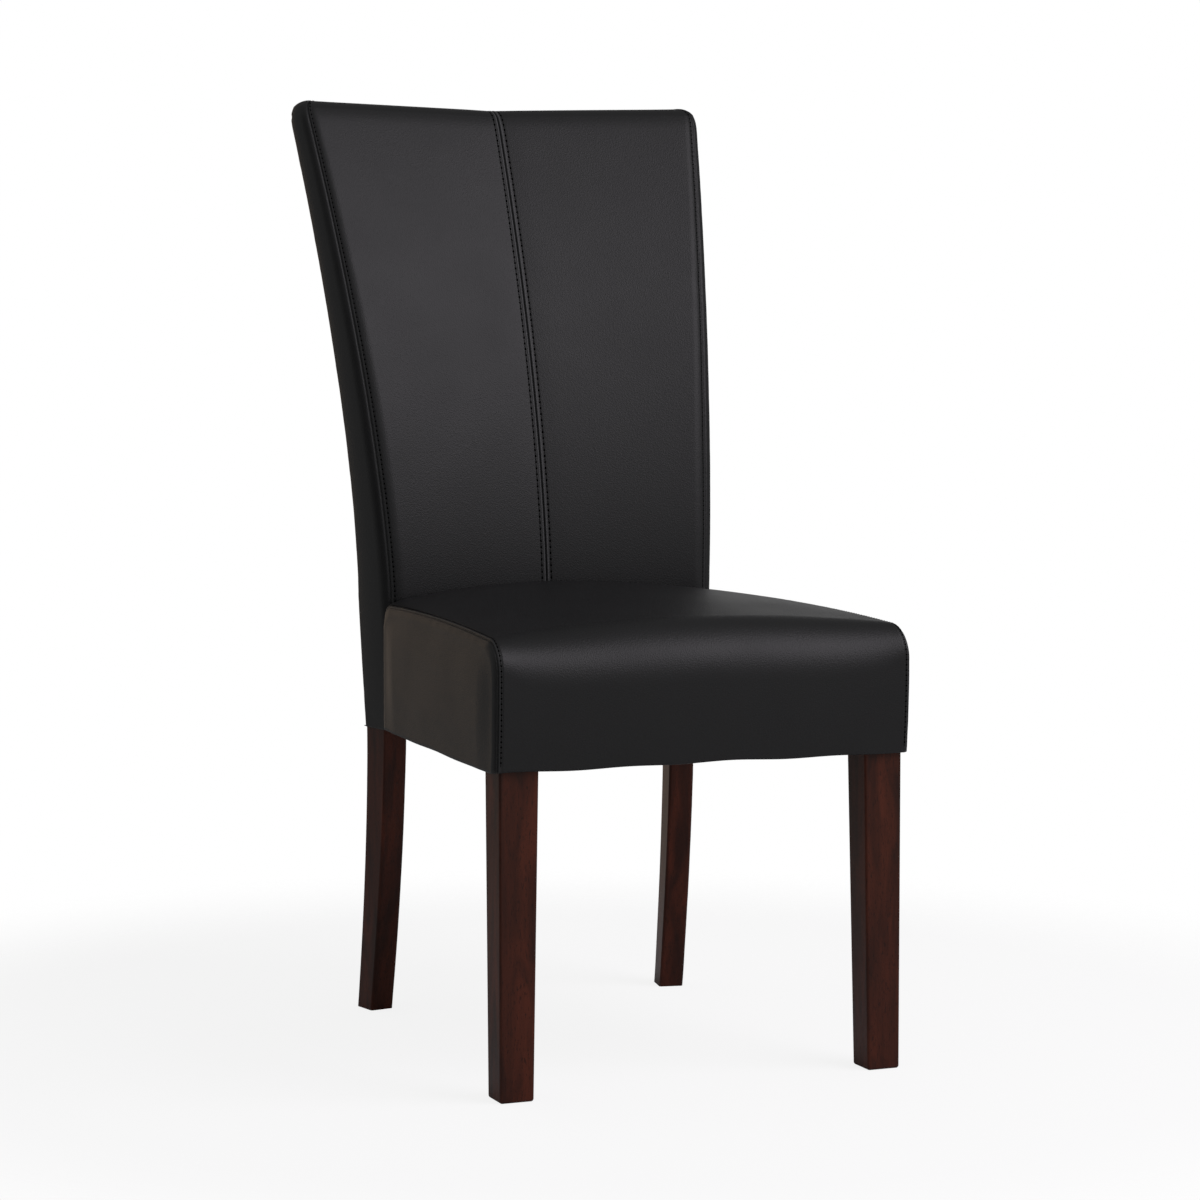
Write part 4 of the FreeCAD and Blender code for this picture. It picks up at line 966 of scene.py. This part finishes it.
    def build(self) -> None:
        """Build the cover and its stitches, and let it stand for the model's cover and foam."""
        right = self.half_net()
        stitch_columns, climb, seam_highlight = self.dress(right)
        left = right.points[:, ::-1].copy()
        left[..., 0] *= -1
        ring = Net(np.concatenate([right.points, left[:, 1:-1]], axis=1), wrapped=True)
        cover = self.hem(ring)
        piece = build_mesh("back_upholstery", cover.points, cover.faces() + self.top_faces(cover),
                           Finish.LEATHER)
        # painted seam highlight, mirrored to the left half, and none on the hem rows
        around = np.concatenate([seam_highlight, seam_highlight[:, -2:0:-1]], axis=1)
        mark_seam_highlight(piece, np.concatenate([np.zeros((len(self.hem_rows), around.shape[1])), around]).ravel())
        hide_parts("back_foam", "back_cover_front_left", "back_cover_front_right", "back_cover_rear",
                    "back_cover_side_left", "back_cover_side_right")
        self.sew_rows(ring, stitch_columns, climb)

    def top_faces(self, cover: Net) -> list[tuple[int, ...]]:
        """Close the strip along the top of the crown.

        Args:
            cover: the whole cover.

        Returns:
            Quads from front to rear, and one face at each end.
        """
        rows, columns = cover.points.shape[:2]
        top = (rows - 1) * columns
        count = len(self.columns)
        span = int(np.flatnonzero(self.in_zones(Zone.FRONT_CORNER))[0])
        faces: list[tuple[int, ...]] = []
        for index in range(-span, span):
            line = (index, index + 1, count - 2 - index, count - 1 - index)
            faces.append(tuple(top + column % columns for column in line))
        faces.append(tuple(top + index for index in range(span, count - span)))
        faces.append(tuple(top + -index % columns for index in range(count - 1 - span, span - 1, -1)))
        return faces

    def hem(self, ring: Net) -> Net:
        """Turn the lower edge in under the back.

        Args:
            ring: the cover.

        Returns:
            The cover with the hem's rows below it.
        """
        bottom = ring.points[0]
        inward = (np.array([0.0, bottom[:, 1].mean(), 0.0]) - bottom) * np.array([1, 1, 0])
        inward /= np.linalg.norm(inward, axis=1, keepdims=True)
        rows = []
        for reach, rise in self.hem_rows:
            row = bottom + inward * reach
            row[:, 2] = self.base + rise
            rows.append(row)
        return Net(np.concatenate([np.stack(rows), ring.points]), wrapped=True)

    def sew_rows(self, ring: Net, columns: dict[str, int], climb: np.ndarray) -> None:
        """Sew the rows beside the middle seam and along the edges.

        Args:
            ring: the cover without its hem.
            columns: the columns that the rows follow.
            climb: distance along each column of the right half.
        """
        normals = ring.normals()
        span = slice(*self.sewn)
        rows: dict[str, list[StitchRow]] = {"back_middle_stitches": [], "back_edge_stitches": []}
        for mirror in (1, -1):
            for name, column in columns.items():
                place = mirror * column % ring.points.shape[1]
                piece, seam = (("back_middle_stitches", self.middle) if name == "middle"
                               else ("back_edge_stitches", self.edge))
                rows[piece].append(StitchRow(ring.points[span, place], normals[span, place],
                                             climb[span, column], seam))
        for piece, sewn in rows.items():
            Needlework().build(piece, sewn)


# The seat

@dataclass
class Seat:
    """The seat cushion: a strip over front, top and rear, and two side panels sewn to its edges.

    The cover is one net that runs from side to side. Its rows follow the seat's side outline, from the
    lower front edge over the top to the lower rear edge. The flat of each side panel is a net of its own.
    """

    front: float = -326.5 * MM
    face: float = 110.5 * MM
    leg_rear: float = -274 * MM
    base: float = 338 * MM
    edge_height: float = 479 * MM
    crown: float = 18 * MM
    front_drop: float = 6 * MM
    front_sink: float = 4.5 * MM
    rear_drop: float = 2 * MM
    front_radius: float = 62 * MM
    front_radius_side: float = 30 * MM
    front_radius_power: int = 5
    edge_radius: float = 11 * MM
    corner_radius: float = 26 * MM
    rear_radius: float = 9 * MM
    rear_radius_side: float = 24 * MM
    rear_radius_power: int = 6
    puff: float = 4 * MM
    back_gap: float = 0.9 * MM
    front_half: float = 232 * MM
    rear_half: float = 212 * MM
    base_half: float = 187.2 * MM
    barrel: float = math.radians(11)
    side_bulge: float = 3.0 * MM
    # share of the bulge that is left at the hem, and shares of the panel over which it rises from its edges
    bulge_at_hem: float = 0.5
    bulge_from_hem: float = 0.35
    bulge_from_top: float = 0.4
    bulge_from_ends: float = 0.12
    # degrees from the top of the rounded edge to the seam
    seam_turn: float = 38.0
    seam: Seam = Seam(row=4.8 * MM)
    slack: Swell = Swell(0.15 * MM, 110 * MM, 280 * MM, seed=3)
    pucker: Swell = Swell(0.1 * MM, 14 * MM, 36 * MM, seed=8)
    pucker_reach: float = 18 * MM
    edge_fade: float = 3 * MM
    folds: Swell = Swell(0.02 * MM, 26 * MM, 70 * MM, seed=21)
    fold_squeeze: float = 0.25
    fold_fade: float = 4
    # the side hems wave up and down, and the front hem is lifted by slow waves of a height, length and phase
    side_hem: float = 0.4 * MM
    side_hem_half_waves: int = 5
    front_hem_rows: int = 12
    front_hem_lift: float = 1.3 * MM
    front_hem_waves: tuple[tuple[float, float, float], ...] = ((0.7 * MM, 19 * MM, 0.0),
                                                               (0.5 * MM, 43 * MM, 1.3))
    fold_reach: float = 1 * MM
    fold_drop: float = 0.5 * MM
    hem_reach: float = 11 * MM
    hem_rise: float = 0.3 * MM
    hem_gap: float = 0.2 * MM
    wall_points: int = 34
    half_arc: int = 10
    top_points: int = 120
    panel_points: int = 17
    strip_points: int = 15
    edge_points: int = 10
    edge_share: float = 0.028
    flat_points: int = 46

    def spread(self, depth: float) -> float:
        """Half the seat's width at a place along its depth."""
        taper = (self.rear_half - self.front_half) / (self.face - self.leg_rear)
        return self.front_half + taper * (depth - self.leg_rear)

    def profile(self, share: float) -> np.ndarray:
        """Line over the seat from the lower front edge to the lower rear edge.

        Args:
            share: place across the seat, -1 at the left edge and 1 at the right.

        Returns:
            Points, always the same number.
        """
        over = max(0.0, abs(share) * self.front_half - (self.front_half - self.edge_radius))
        drawn = self.edge_radius - math.sqrt(max(0.0, self.edge_radius ** 2 - over ** 2))
        radius = self.base_half / math.sin(self.barrel)
        centre = self.face - radius * math.cos(self.barrel)
        rear_across = abs(share) * self.rear_half
        rear = centre + math.sqrt((radius - self.back_gap) ** 2 - rear_across ** 2)
        corner = max(0.0, rear_across - (self.rear_half - self.corner_radius))
        rear -= self.corner_radius - math.sqrt(self.corner_radius ** 2 - corner ** 2)
        top = self.edge_height + self.crown * (1 - share ** 2) - drawn
        front_top = top - self.front_drop - self.front_sink * (1 - share ** 2)
        rear_top = top - self.rear_drop
        front = self.front + drawn
        to_side = abs(share) ** self.front_radius_power
        roll = self.front_radius + (self.front_radius_side - self.front_radius) * to_side
        to_side = abs(share) ** self.rear_radius_power
        soft = self.rear_radius + (self.rear_radius_side - self.rear_radius) * to_side
        wall_top = front_top - roll
        start, stop = front + roll, rear - soft
        middle = (start + stop) / 2
        turns = np.radians(np.linspace(0, 90, 2 * self.half_arc + 1)[:-1])
        places: list[tuple[float, float]] = []
        for part in np.linspace(0, 1, self.wall_points)[:-1]:
            places.append((front + self.puff * (1 - part) ** 2, self.base + (wall_top - self.base) * part))
        for turn in turns:
            places.append((front + roll * (1 - math.cos(turn)), wall_top + roll * math.sin(turn)))
        for part in np.linspace(0, 1, self.top_points)[:-1]:
            depth = start + (stop - start) * part
            swell = 1 - ((depth - middle) / (stop - middle)) ** 2
            chord = front_top + (rear_top - front_top) * part
            places.append((depth, chord + (top - (front_top + rear_top) / 2) * swell))
        for turn in turns:
            places.append((stop + soft * math.sin(turn), rear_top - soft * (1 - math.cos(turn))))
        for part in np.linspace(0, 1, self.wall_points):
            places.append((rear, rear_top - soft + (self.base - rear_top + soft) * part))
        return np.array([[self.spread(depth) * share, depth, level] for depth, level in places])

    def turn_share(self, turn: float) -> float:
        """Place across the seat of a turn of its rounded edge, in degrees from the top."""
        edge = self.edge_radius / self.front_half
        return 1 - edge + edge * math.sin(math.radians(turn))

    def cover(self) -> tuple[Net, int]:
        """Lay out the cover from side to side, with its columns close together at the seams.

        Returns:
            The net, and the number of columns outside each seam.
        """
        panel = [self.turn_share(turn) for turn in np.linspace(90, self.seam_turn, self.panel_points)]
        strip = [self.turn_share(turn) for turn in np.linspace(self.seam_turn, 0, self.strip_points)[1:]]
        flat = self.turn_share(0)
        inner = flat - self.edge_share
        strip += list(np.linspace(flat, inner, self.edge_points)[1:])
        strip += list(np.linspace(inner, 0, self.flat_points)[1:])
        right = (panel + strip)[::-1]
        shares = [-share for share in reversed(right[1:])] + right
        return Net(np.stack([self.profile(share) for share in shares], axis=1)), len(panel) - 1

    def dress(self, net: Net, outside: int) -> tuple[np.ndarray, np.ndarray]:
        """Draw the cover in at its two seams.

        Args:
            net: the net from side to side, which is changed.
            outside: number of columns outside each seam.

        Returns:
            Distance along each column before the change, and the share of painted highlight beside the seams.
        """
        girth, climb = net.girth(), net.climb()
        last = girth.shape[1] - 1 - outside
        inward = np.minimum(girth - girth[:, outside:outside + 1], girth[:, last:last + 1] - girth)
        change = self.slack.height(net.points)
        change += self.pucker.height(net.points) * ridge(inward, 1.0, self.pucker_reach)
        change += self.seam.height(inward, climb)
        fade = np.clip((inward - inward.min(axis=1, keepdims=True)) / self.edge_fade, 0, 1)
        net.push(change * fade)
        return climb, self.seam.highlight_share(inward)

    def side_net(self, edge: np.ndarray, side: int) -> Net:
        """The flat of a side panel, inside its rounded edge.

        Args:
            edge: the line at the end of the rounding, from lower front to lower rear.
            side: -1 for left and 1 for right.

        Returns:
            The net, whose outer lines are the edge's own points.
        """
        corner = self.wall_points - 1 + self.half_arc
        front, rear = edge[:corner + 1], edge[::-1][:corner + 1]
        top = edge[corner:len(edge) - corner]
        along = np.linspace(0, 1, len(top))[None, :, None]
        up = np.linspace(0, 1, len(front))[:, None, None]
        hem = front[0] + (rear[0] - front[0]) * along[0]
        waves = np.sin(np.linspace(0, self.side_hem_half_waves * math.pi, len(hem)))
        hem[:, 2] += self.side_hem * waves * np.sin(np.linspace(0, math.pi, len(hem)))
        points = (1 - up) * hem[None] + up * top[None] + (1 - along) * front[:, None] + along * rear[:, None]
        points = points - ((1 - up) * (1 - along) * front[0] + (1 - up) * along * rear[0]
                           + up * (1 - along) * front[-1] + up * along * rear[-1])
        height, length = up[..., 0], along[..., 0]
        from_hem = smooth(np.minimum(1, height / self.bulge_from_hem))
        rise = (smooth(np.minimum(1, (1 - height) / self.bulge_from_top))
                * (self.bulge_at_hem + (1 - self.bulge_at_hem) * from_hem))
        ends = (smooth(np.minimum(1, length / self.bulge_from_ends))
                * smooth(np.minimum(1, (1 - length) / self.bulge_from_ends)))
        folds = self.folds.height(points * np.array([1, 1, self.fold_squeeze]))
        folds *= np.clip(np.minimum(ends, rise) * self.fold_fade, 0, 1)
        points[..., 0] += side * (self.side_bulge * rise * ends + folds)
        return Net(points if side > 0 else points[:, ::-1])

    def lift_front_hem(self, cover: Net) -> None:
        """Let the lower front edge run in slow waves, as hand-stapled cloth does.

        Args:
            cover: the net from side to side, which is changed.
        """
        across = cover.points[0, :, 0]
        wave = self.front_hem_lift + sum(height * np.sin(across / length + phase)
                                         for height, length, phase in self.front_hem_waves)
        wave *= np.sin(np.linspace(0, math.pi, len(across))) ** 0.5
        for row in range(self.front_hem_rows):
            cover.points[row, :, 2] += wave * (1 - row / self.front_hem_rows) ** 2

    def build(self) -> None:
        """Build the cushion's cover and stitches, and let it stand for the model's cover and foam."""
        cover, outside = self.cover()
        climb, seam_highlight = self.dress(cover, outside)
        self.lift_front_hem(cover)
        left, right = self.side_net(cover.points[:, 0], -1), self.side_net(cover.points[:, -1], 1)
        rim = np.concatenate([cover.points[0], right.points[0][1:], cover.points[-1][::-1][1:],
                              left.points[0][1:-1]])
        vertices: list[np.ndarray] = []
        faces: list[tuple[int, ...]] = []
        offset = 0
        for net in (cover, left, right, self.turned_hem(rim)):
            vertices.append(net.points.reshape(-1, 3))
            faces += net.faces(offset)
            offset += len(vertices[-1])
        piece = build_mesh("seat_upholstery", np.concatenate(vertices), faces, Finish.LEATHER)
        # painted highlight beside the strip's seams, none on the side panels and the hem
        mark_seam_highlight(piece, np.concatenate([seam_highlight.ravel(), np.zeros(offset - seam_highlight.size)]))
        weld(piece)
        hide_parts("seat_foam", "seat_cover_top", "seat_cover_side_left", "seat_cover_side_right")
        self.sew_rows(cover, climb, outside)

    def turned_hem(self, rim: np.ndarray) -> Net:
        """The cover's lower edge, turned in under the seat box.

        Args:
            rim: the lower edge as a closed line.

        Returns:
            A ring of three rows.
        """
        inward = (rim.mean(axis=0) - rim) * np.array([1, 1, 0])
        inward /= np.linalg.norm(inward, axis=1, keepdims=True)
        fold = rim + inward * self.fold_reach - np.array([0, 0, self.fold_drop])
        under = rim + inward * self.hem_reach + np.array([0, 0, self.hem_rise])
        under[:, 2] = np.maximum(under[:, 2], self.base + self.hem_gap)
        return Net(np.stack([under, fold, rim]), wrapped=True)

    def sew_rows(self, cover: Net, climb: np.ndarray, outside: int) -> None:
        """Sew a stitch row inside each seam of the strip.

        Args:
            cover: the finished net from side to side.
            climb: distance along each column.
            outside: number of columns outside each seam.
        """
        girth, normals = cover.girth(), cover.normals()
        last = girth.shape[1] - 1
        middle = last // 2
        span = slice(1, -self.wall_points)
        rows = []
        for seam, half in ((outside, slice(None, middle)), (last - outside, slice(middle, None))):
            away = np.abs(girth[:, half] - girth[:, seam:seam + 1])
            column = np.argmin(np.abs(away - self.seam.row), axis=1) + (half.start or 0)
            place = int(np.median(column[:self.wall_points]))
            rows.append(StitchRow(cover.points[span, place], normals[span, place], climb[span, place],
                                  self.seam))
        Needlework().build("seat_stitches", rows)


# Wooden and metal parts

@dataclass
class Woodwork:
    """Legs, boards and fasteners, whose shapes come from the model."""

    finishes: dict[str, Finish] = field(default_factory=lambda: {
        "front_leg_left": Finish.LEG_WOOD,
        "front_leg_right": Finish.LEG_WOOD,
        "rear_post_left": Finish.LEG_WOOD,
        "rear_post_right": Finish.LEG_WOOD,
        "back_rail_dowels": Finish.POST_WOOD,
        "back_inner_panel": Finish.PANEL_WOOD,
        "back_outer_panel": Finish.PANEL_WOOD,
        "dust_cover": Finish.LINING,
        "back_base_lining": Finish.LINING,
    })
    fasteners: tuple[str, ...] = ("bolt", "nut", "washer", "screw", "staple")

    def finish_of(self, name: str) -> Finish:
        """Choose the finish of a model node.

        Args:
            name: the node's name.

        Returns:
            Its finish, which is the frame's wood unless it is named or told by a word in its name.
        """
        if name in self.finishes:
            return self.finishes[name]
        if name.startswith("webbing"):
            return Finish.WEBBING
        return Finish.STEEL if any(word in name for word in self.fasteners) else Finish.FRAME_WOOD

    def build(self) -> None:
        """Give every model node its finish."""
        for name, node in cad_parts.items():
            finish = self.finish_of(name)
            node.data.materials.clear()
            node.data.materials.append(finish.material)
            log.info("%s: %s", name, finish.value.name)


# Studio

@dataclass
class Studio:
    """Floor, light and camera."""

    camera_place: tuple[float, float, float] = (-1.4483, -3.5732, 0.8005)
    camera_turn: tuple[float, float, float] = (85.28, 0.04, -22.24)
    lens: float = 104.47
    sensor: float = 36
    # what a mirror shows, from the camera's side (0) to straight behind the chair (1)
    mirror_levels: tuple[tuple[float, float], ...] = ((0.0, 0.8), (0.5, 0.55), (0.8, 0.2), (0.96, 0.2),
                                                      (0.995, 0.85))
    # the room is unlit to the left of the camera: its middle in degrees from the front, and the cosines
    # of the angles to it between which the light falls to its share
    dark_azimuth: float = -63
    dark_range: tuple[float, float] = (0.68, 0.95)
    dark_share: float = 0.1
    soft_level: float = 0.35
    paper: float = 1.15
    paper_sides: int = 96
    paper_fade: float = 0.6
    paper_colour: str = "fdfdfd"
    paper_white: float = 0.85
    paper_bounce: float = 0.4

    def build(self) -> None:
        """Set up the camera, the white surroundings and the lamps."""
        scene = bpy.context.scene
        scene.view_settings.view_transform = "Standard"
        camera_data = bpy.data.cameras.new("camera")
        camera_data.lens = self.lens
        camera_data.sensor_width = self.sensor
        camera_data.clip_end = 100
        camera = bpy.data.objects.new("camera", camera_data)
        camera.location = self.camera_place
        camera.rotation_euler = [math.radians(turn) for turn in self.camera_turn]
        scene.collection.objects.link(camera)
        scene.camera = camera
        self.surroundings(scene)
        self.floor(scene)
        self.soft_box("key", "fcf6ff", place=(1.18, -1.36, 2.03), target=(0.0, 0.0, 0.6), size=1.5, power=30)
        self.low_sun("warm_rim", "ffcf9c", azimuth=-178, elevation=6, width=32, strength=0.095)
        log.info("studio ready")

    @staticmethod
    def straight_rays(tree: bpy.types.NodeTree) -> tuple[bpy.types.Node, bpy.types.NodeSocket]:
        """Tell the rays by which the camera sees a thing, also through glass, from all others.

        Args:
            tree: the node tree that asks.

        Returns:
            The light path node, and a socket that is 1 for those rays and 0 for others.
        """
        rays = add_node(tree, "ShaderNodeLightPath")
        seen = add_node(tree, "ShaderNodeMath", {"operation": "MAXIMUM"},
                        {0: rays.outputs["Is Camera Ray"], 1: rays.outputs["Is Transmission Ray"]})
        return rays, seen.outputs[0]

    def mirrored_level(self, tree: bpy.types.NodeTree) -> bpy.types.NodeSocket:
        """Brightness of the room as a mirror shows it: a white backdrop, a dim room and its unlit side.

        Args:
            tree: the world's node tree.

        Returns:
            A socket with the level for each direction.
        """
        direction = add_node(tree, "ShaderNodeTexCoord").outputs["Generated"]
        view = math.radians(-self.camera_turn[2])
        aside = math.radians(self.dark_azimuth)
        towards = []
        for target in ((math.sin(view), math.cos(view), 0), (math.sin(aside), -math.cos(aside), 0)):
            dot = add_node(tree, "ShaderNodeVectorMath", {"operation": "DOT_PRODUCT", 1: target},
                           {0: direction})
            towards.append(dot.outputs["Value"])
        turned = add_node(tree, "ShaderNodeMapRange", {"From Min": -1.0}, {"Value": towards[0]})
        backdrop = add_node(tree, "ShaderNodeValToRGB", links={"Fac": turned.outputs["Result"]},
                            steps=[(place, (level, level, level, 1)) for place, level in self.mirror_levels])
        near, far = self.dark_range
        dim = add_node(tree, "ShaderNodeMapRange",
                       {"From Min": near, "From Max": far, "To Min": 1.0, "To Max": self.dark_share},
                       {"Value": towards[1]})
        return add_node(tree, "ShaderNodeMath", {"operation": "MULTIPLY"},
                        {0: backdrop.outputs["Color"], 1: dim.outputs["Result"]}).outputs[0]

    def surroundings(self, scene: bpy.types.Scene) -> None:
        """White where it is seen, a dim room where it is mirrored, and even light elsewhere.

        Args:
            scene: the scene whose world is set.
        """
        world = bpy.data.worlds.new("studio")
        world.use_nodes = True
        tree = world.node_tree
        tree.nodes.clear()
        rays, seen = self.straight_rays(tree)
        room = add_node(tree, "ShaderNodeBackground", {"Color": WHITE},
                        {"Strength": self.mirrored_level(tree)})
        white, soft = [add_node(tree, "ShaderNodeBackground", {"Color": WHITE, "Strength": level})
                       for level in (1.0, self.soft_level)]
        mirrored = add_node(tree, "ShaderNodeMixShader", links={
            0: rays.outputs["Is Glossy Ray"], 1: soft.outputs[0], 2: room.outputs[0]})
        mixed = add_node(tree, "ShaderNodeMixShader", links={
            0: seen, 1: mirrored.outputs[0], 2: white.outputs[0]})
        add_node(tree, "ShaderNodeOutputWorld", links={"Surface": mixed.outputs[0]})
        scene.world = world

    def floor(self, scene: bpy.types.Scene) -> None:
        """A round white floor paper that keeps the chair's shadow and fades out at its edge.

        Args:
            scene: the scene that it joins.
        """
        mesh = bpy.data.meshes.new("floor")
        turns = [2 * math.pi * number / self.paper_sides for number in range(self.paper_sides)]
        rim = [(self.paper * math.cos(turn), self.paper * math.sin(turn), 0) for turn in turns]
        mesh.from_pydata(rim, [], [tuple(range(len(rim)))])
        material, tree, shader, place = new_material("floor_paper")
        rays, straight = self.straight_rays(tree)
        seen = add_node(tree, "ShaderNodeMath", {"operation": "MAXIMUM"},
                        {0: straight, 1: rays.outputs["Is Glossy Ray"]})
        bounce = (self.paper_bounce, self.paper_bounce, self.paper_bounce, 1)
        colour = add_node(tree, "ShaderNodeMix",
                          {"data_type": "RGBA", 6: bounce, 7: linear(self.paper_colour)},
                          {0: seen.outputs[0]})
        set_up(tree, shader, {"Roughness": 1.0, "Specular IOR Level": 0.0}, {"Base Color": colour.outputs[2]})
        distance = add_node(tree, "ShaderNodeVectorMath", {"operation": "LENGTH"}, {0: place})
        fade = add_node(tree, "ShaderNodeMapRange",
                        {"interpolation_type": "SMOOTHSTEP", "From Min": self.paper * self.paper_fade,
                         "From Max": self.paper}, {"Value": distance.outputs["Value"]})
        white = add_node(tree, "ShaderNodeEmission", {"Color": WHITE, "Strength": 1.0})
        share = add_node(tree, "ShaderNodeMath", {"operation": "MULTIPLY", 1: self.paper_white},
                         {0: straight})
        paper = add_node(tree, "ShaderNodeMixShader",
                         links={0: share.outputs[0], 1: shader.outputs[0], 2: white.outputs[0]})
        clear = add_node(tree, "ShaderNodeBsdfTransparent")
        mixed = add_node(tree, "ShaderNodeMixShader",
                         links={0: fade.outputs["Result"], 1: paper.outputs[0], 2: clear.outputs[0]})
        output = next(node for node in tree.nodes if node.type == "OUTPUT_MATERIAL")
        tree.links.new(mixed.outputs[0], output.inputs["Surface"])
        mesh.materials.append(material)
        floor = bpy.data.objects.new("floor", mesh)
        scene.collection.objects.link(floor)

    def soft_box(self, name: str, colour: str, place: tuple[float, float, float],
                 target: tuple[float, float, float], size: float, power: float) -> None:
        """Hang a square soft box near the chair.

        Args:
            name: the lamp's name.
            colour: its colour as sRGB hex digits.
            place: where it hangs.
            target: where it points.
            size: the length of its sides.
            power: its power in watts.
        """
        data = bpy.data.lights.new(name, "AREA")
        data.shape = "SQUARE"
        data.size = size
        self.hang(data, colour, power, Vector(place), Vector(place) - Vector(target))

    def low_sun(self, name: str, colour: str, azimuth: float, elevation: float, width: float,
                strength: float) -> None:
        """Hang a large soft lamp far away.

        Args:
            name: the lamp's name.
            colour: its colour as sRGB hex digits.
            azimuth: degrees from the front towards the right side.
            elevation: degrees above the floor.
            width: how wide it looks from the chair, in degrees.
            strength: its light on a surface that faces it, in watts per square metre.
        """
        data = bpy.data.lights.new(name, "SUN")
        data.angle = math.radians(width)
        turn, rise = math.radians(azimuth), math.radians(elevation)
        away = Vector((math.sin(turn) * math.cos(rise), -math.cos(turn) * math.cos(rise), math.sin(rise)))
        self.hang(data, colour, strength, away * 4, away)

    @staticmethod
    def hang(data: bpy.types.Light, colour: str, energy: float, place: Vector, away: Vector) -> None:
        """Put a lamp in its place.

        Args:
            data: the lamp.
            colour: its colour as sRGB hex digits.
            energy: its power or strength.
            place: where it hangs.
            away: direction of its back.
        """
        data.energy = energy
        data.color = linear(colour)[:3]
        lamp = bpy.data.objects.new(data.name, data)
        lamp.location = place
        lamp.rotation_euler = away.to_track_quat("Z", "Y").to_euler()
        bpy.context.scene.collection.objects.link(lamp)


def main() -> None:
    """Build the chair's looks in order."""
    logging.basicConfig(level=logging.INFO, format="%(message)s")
    Woodwork().build()
    Back().build()
    Seat().build()
    Studio().build()


if __name__ == "__main__":
    main()
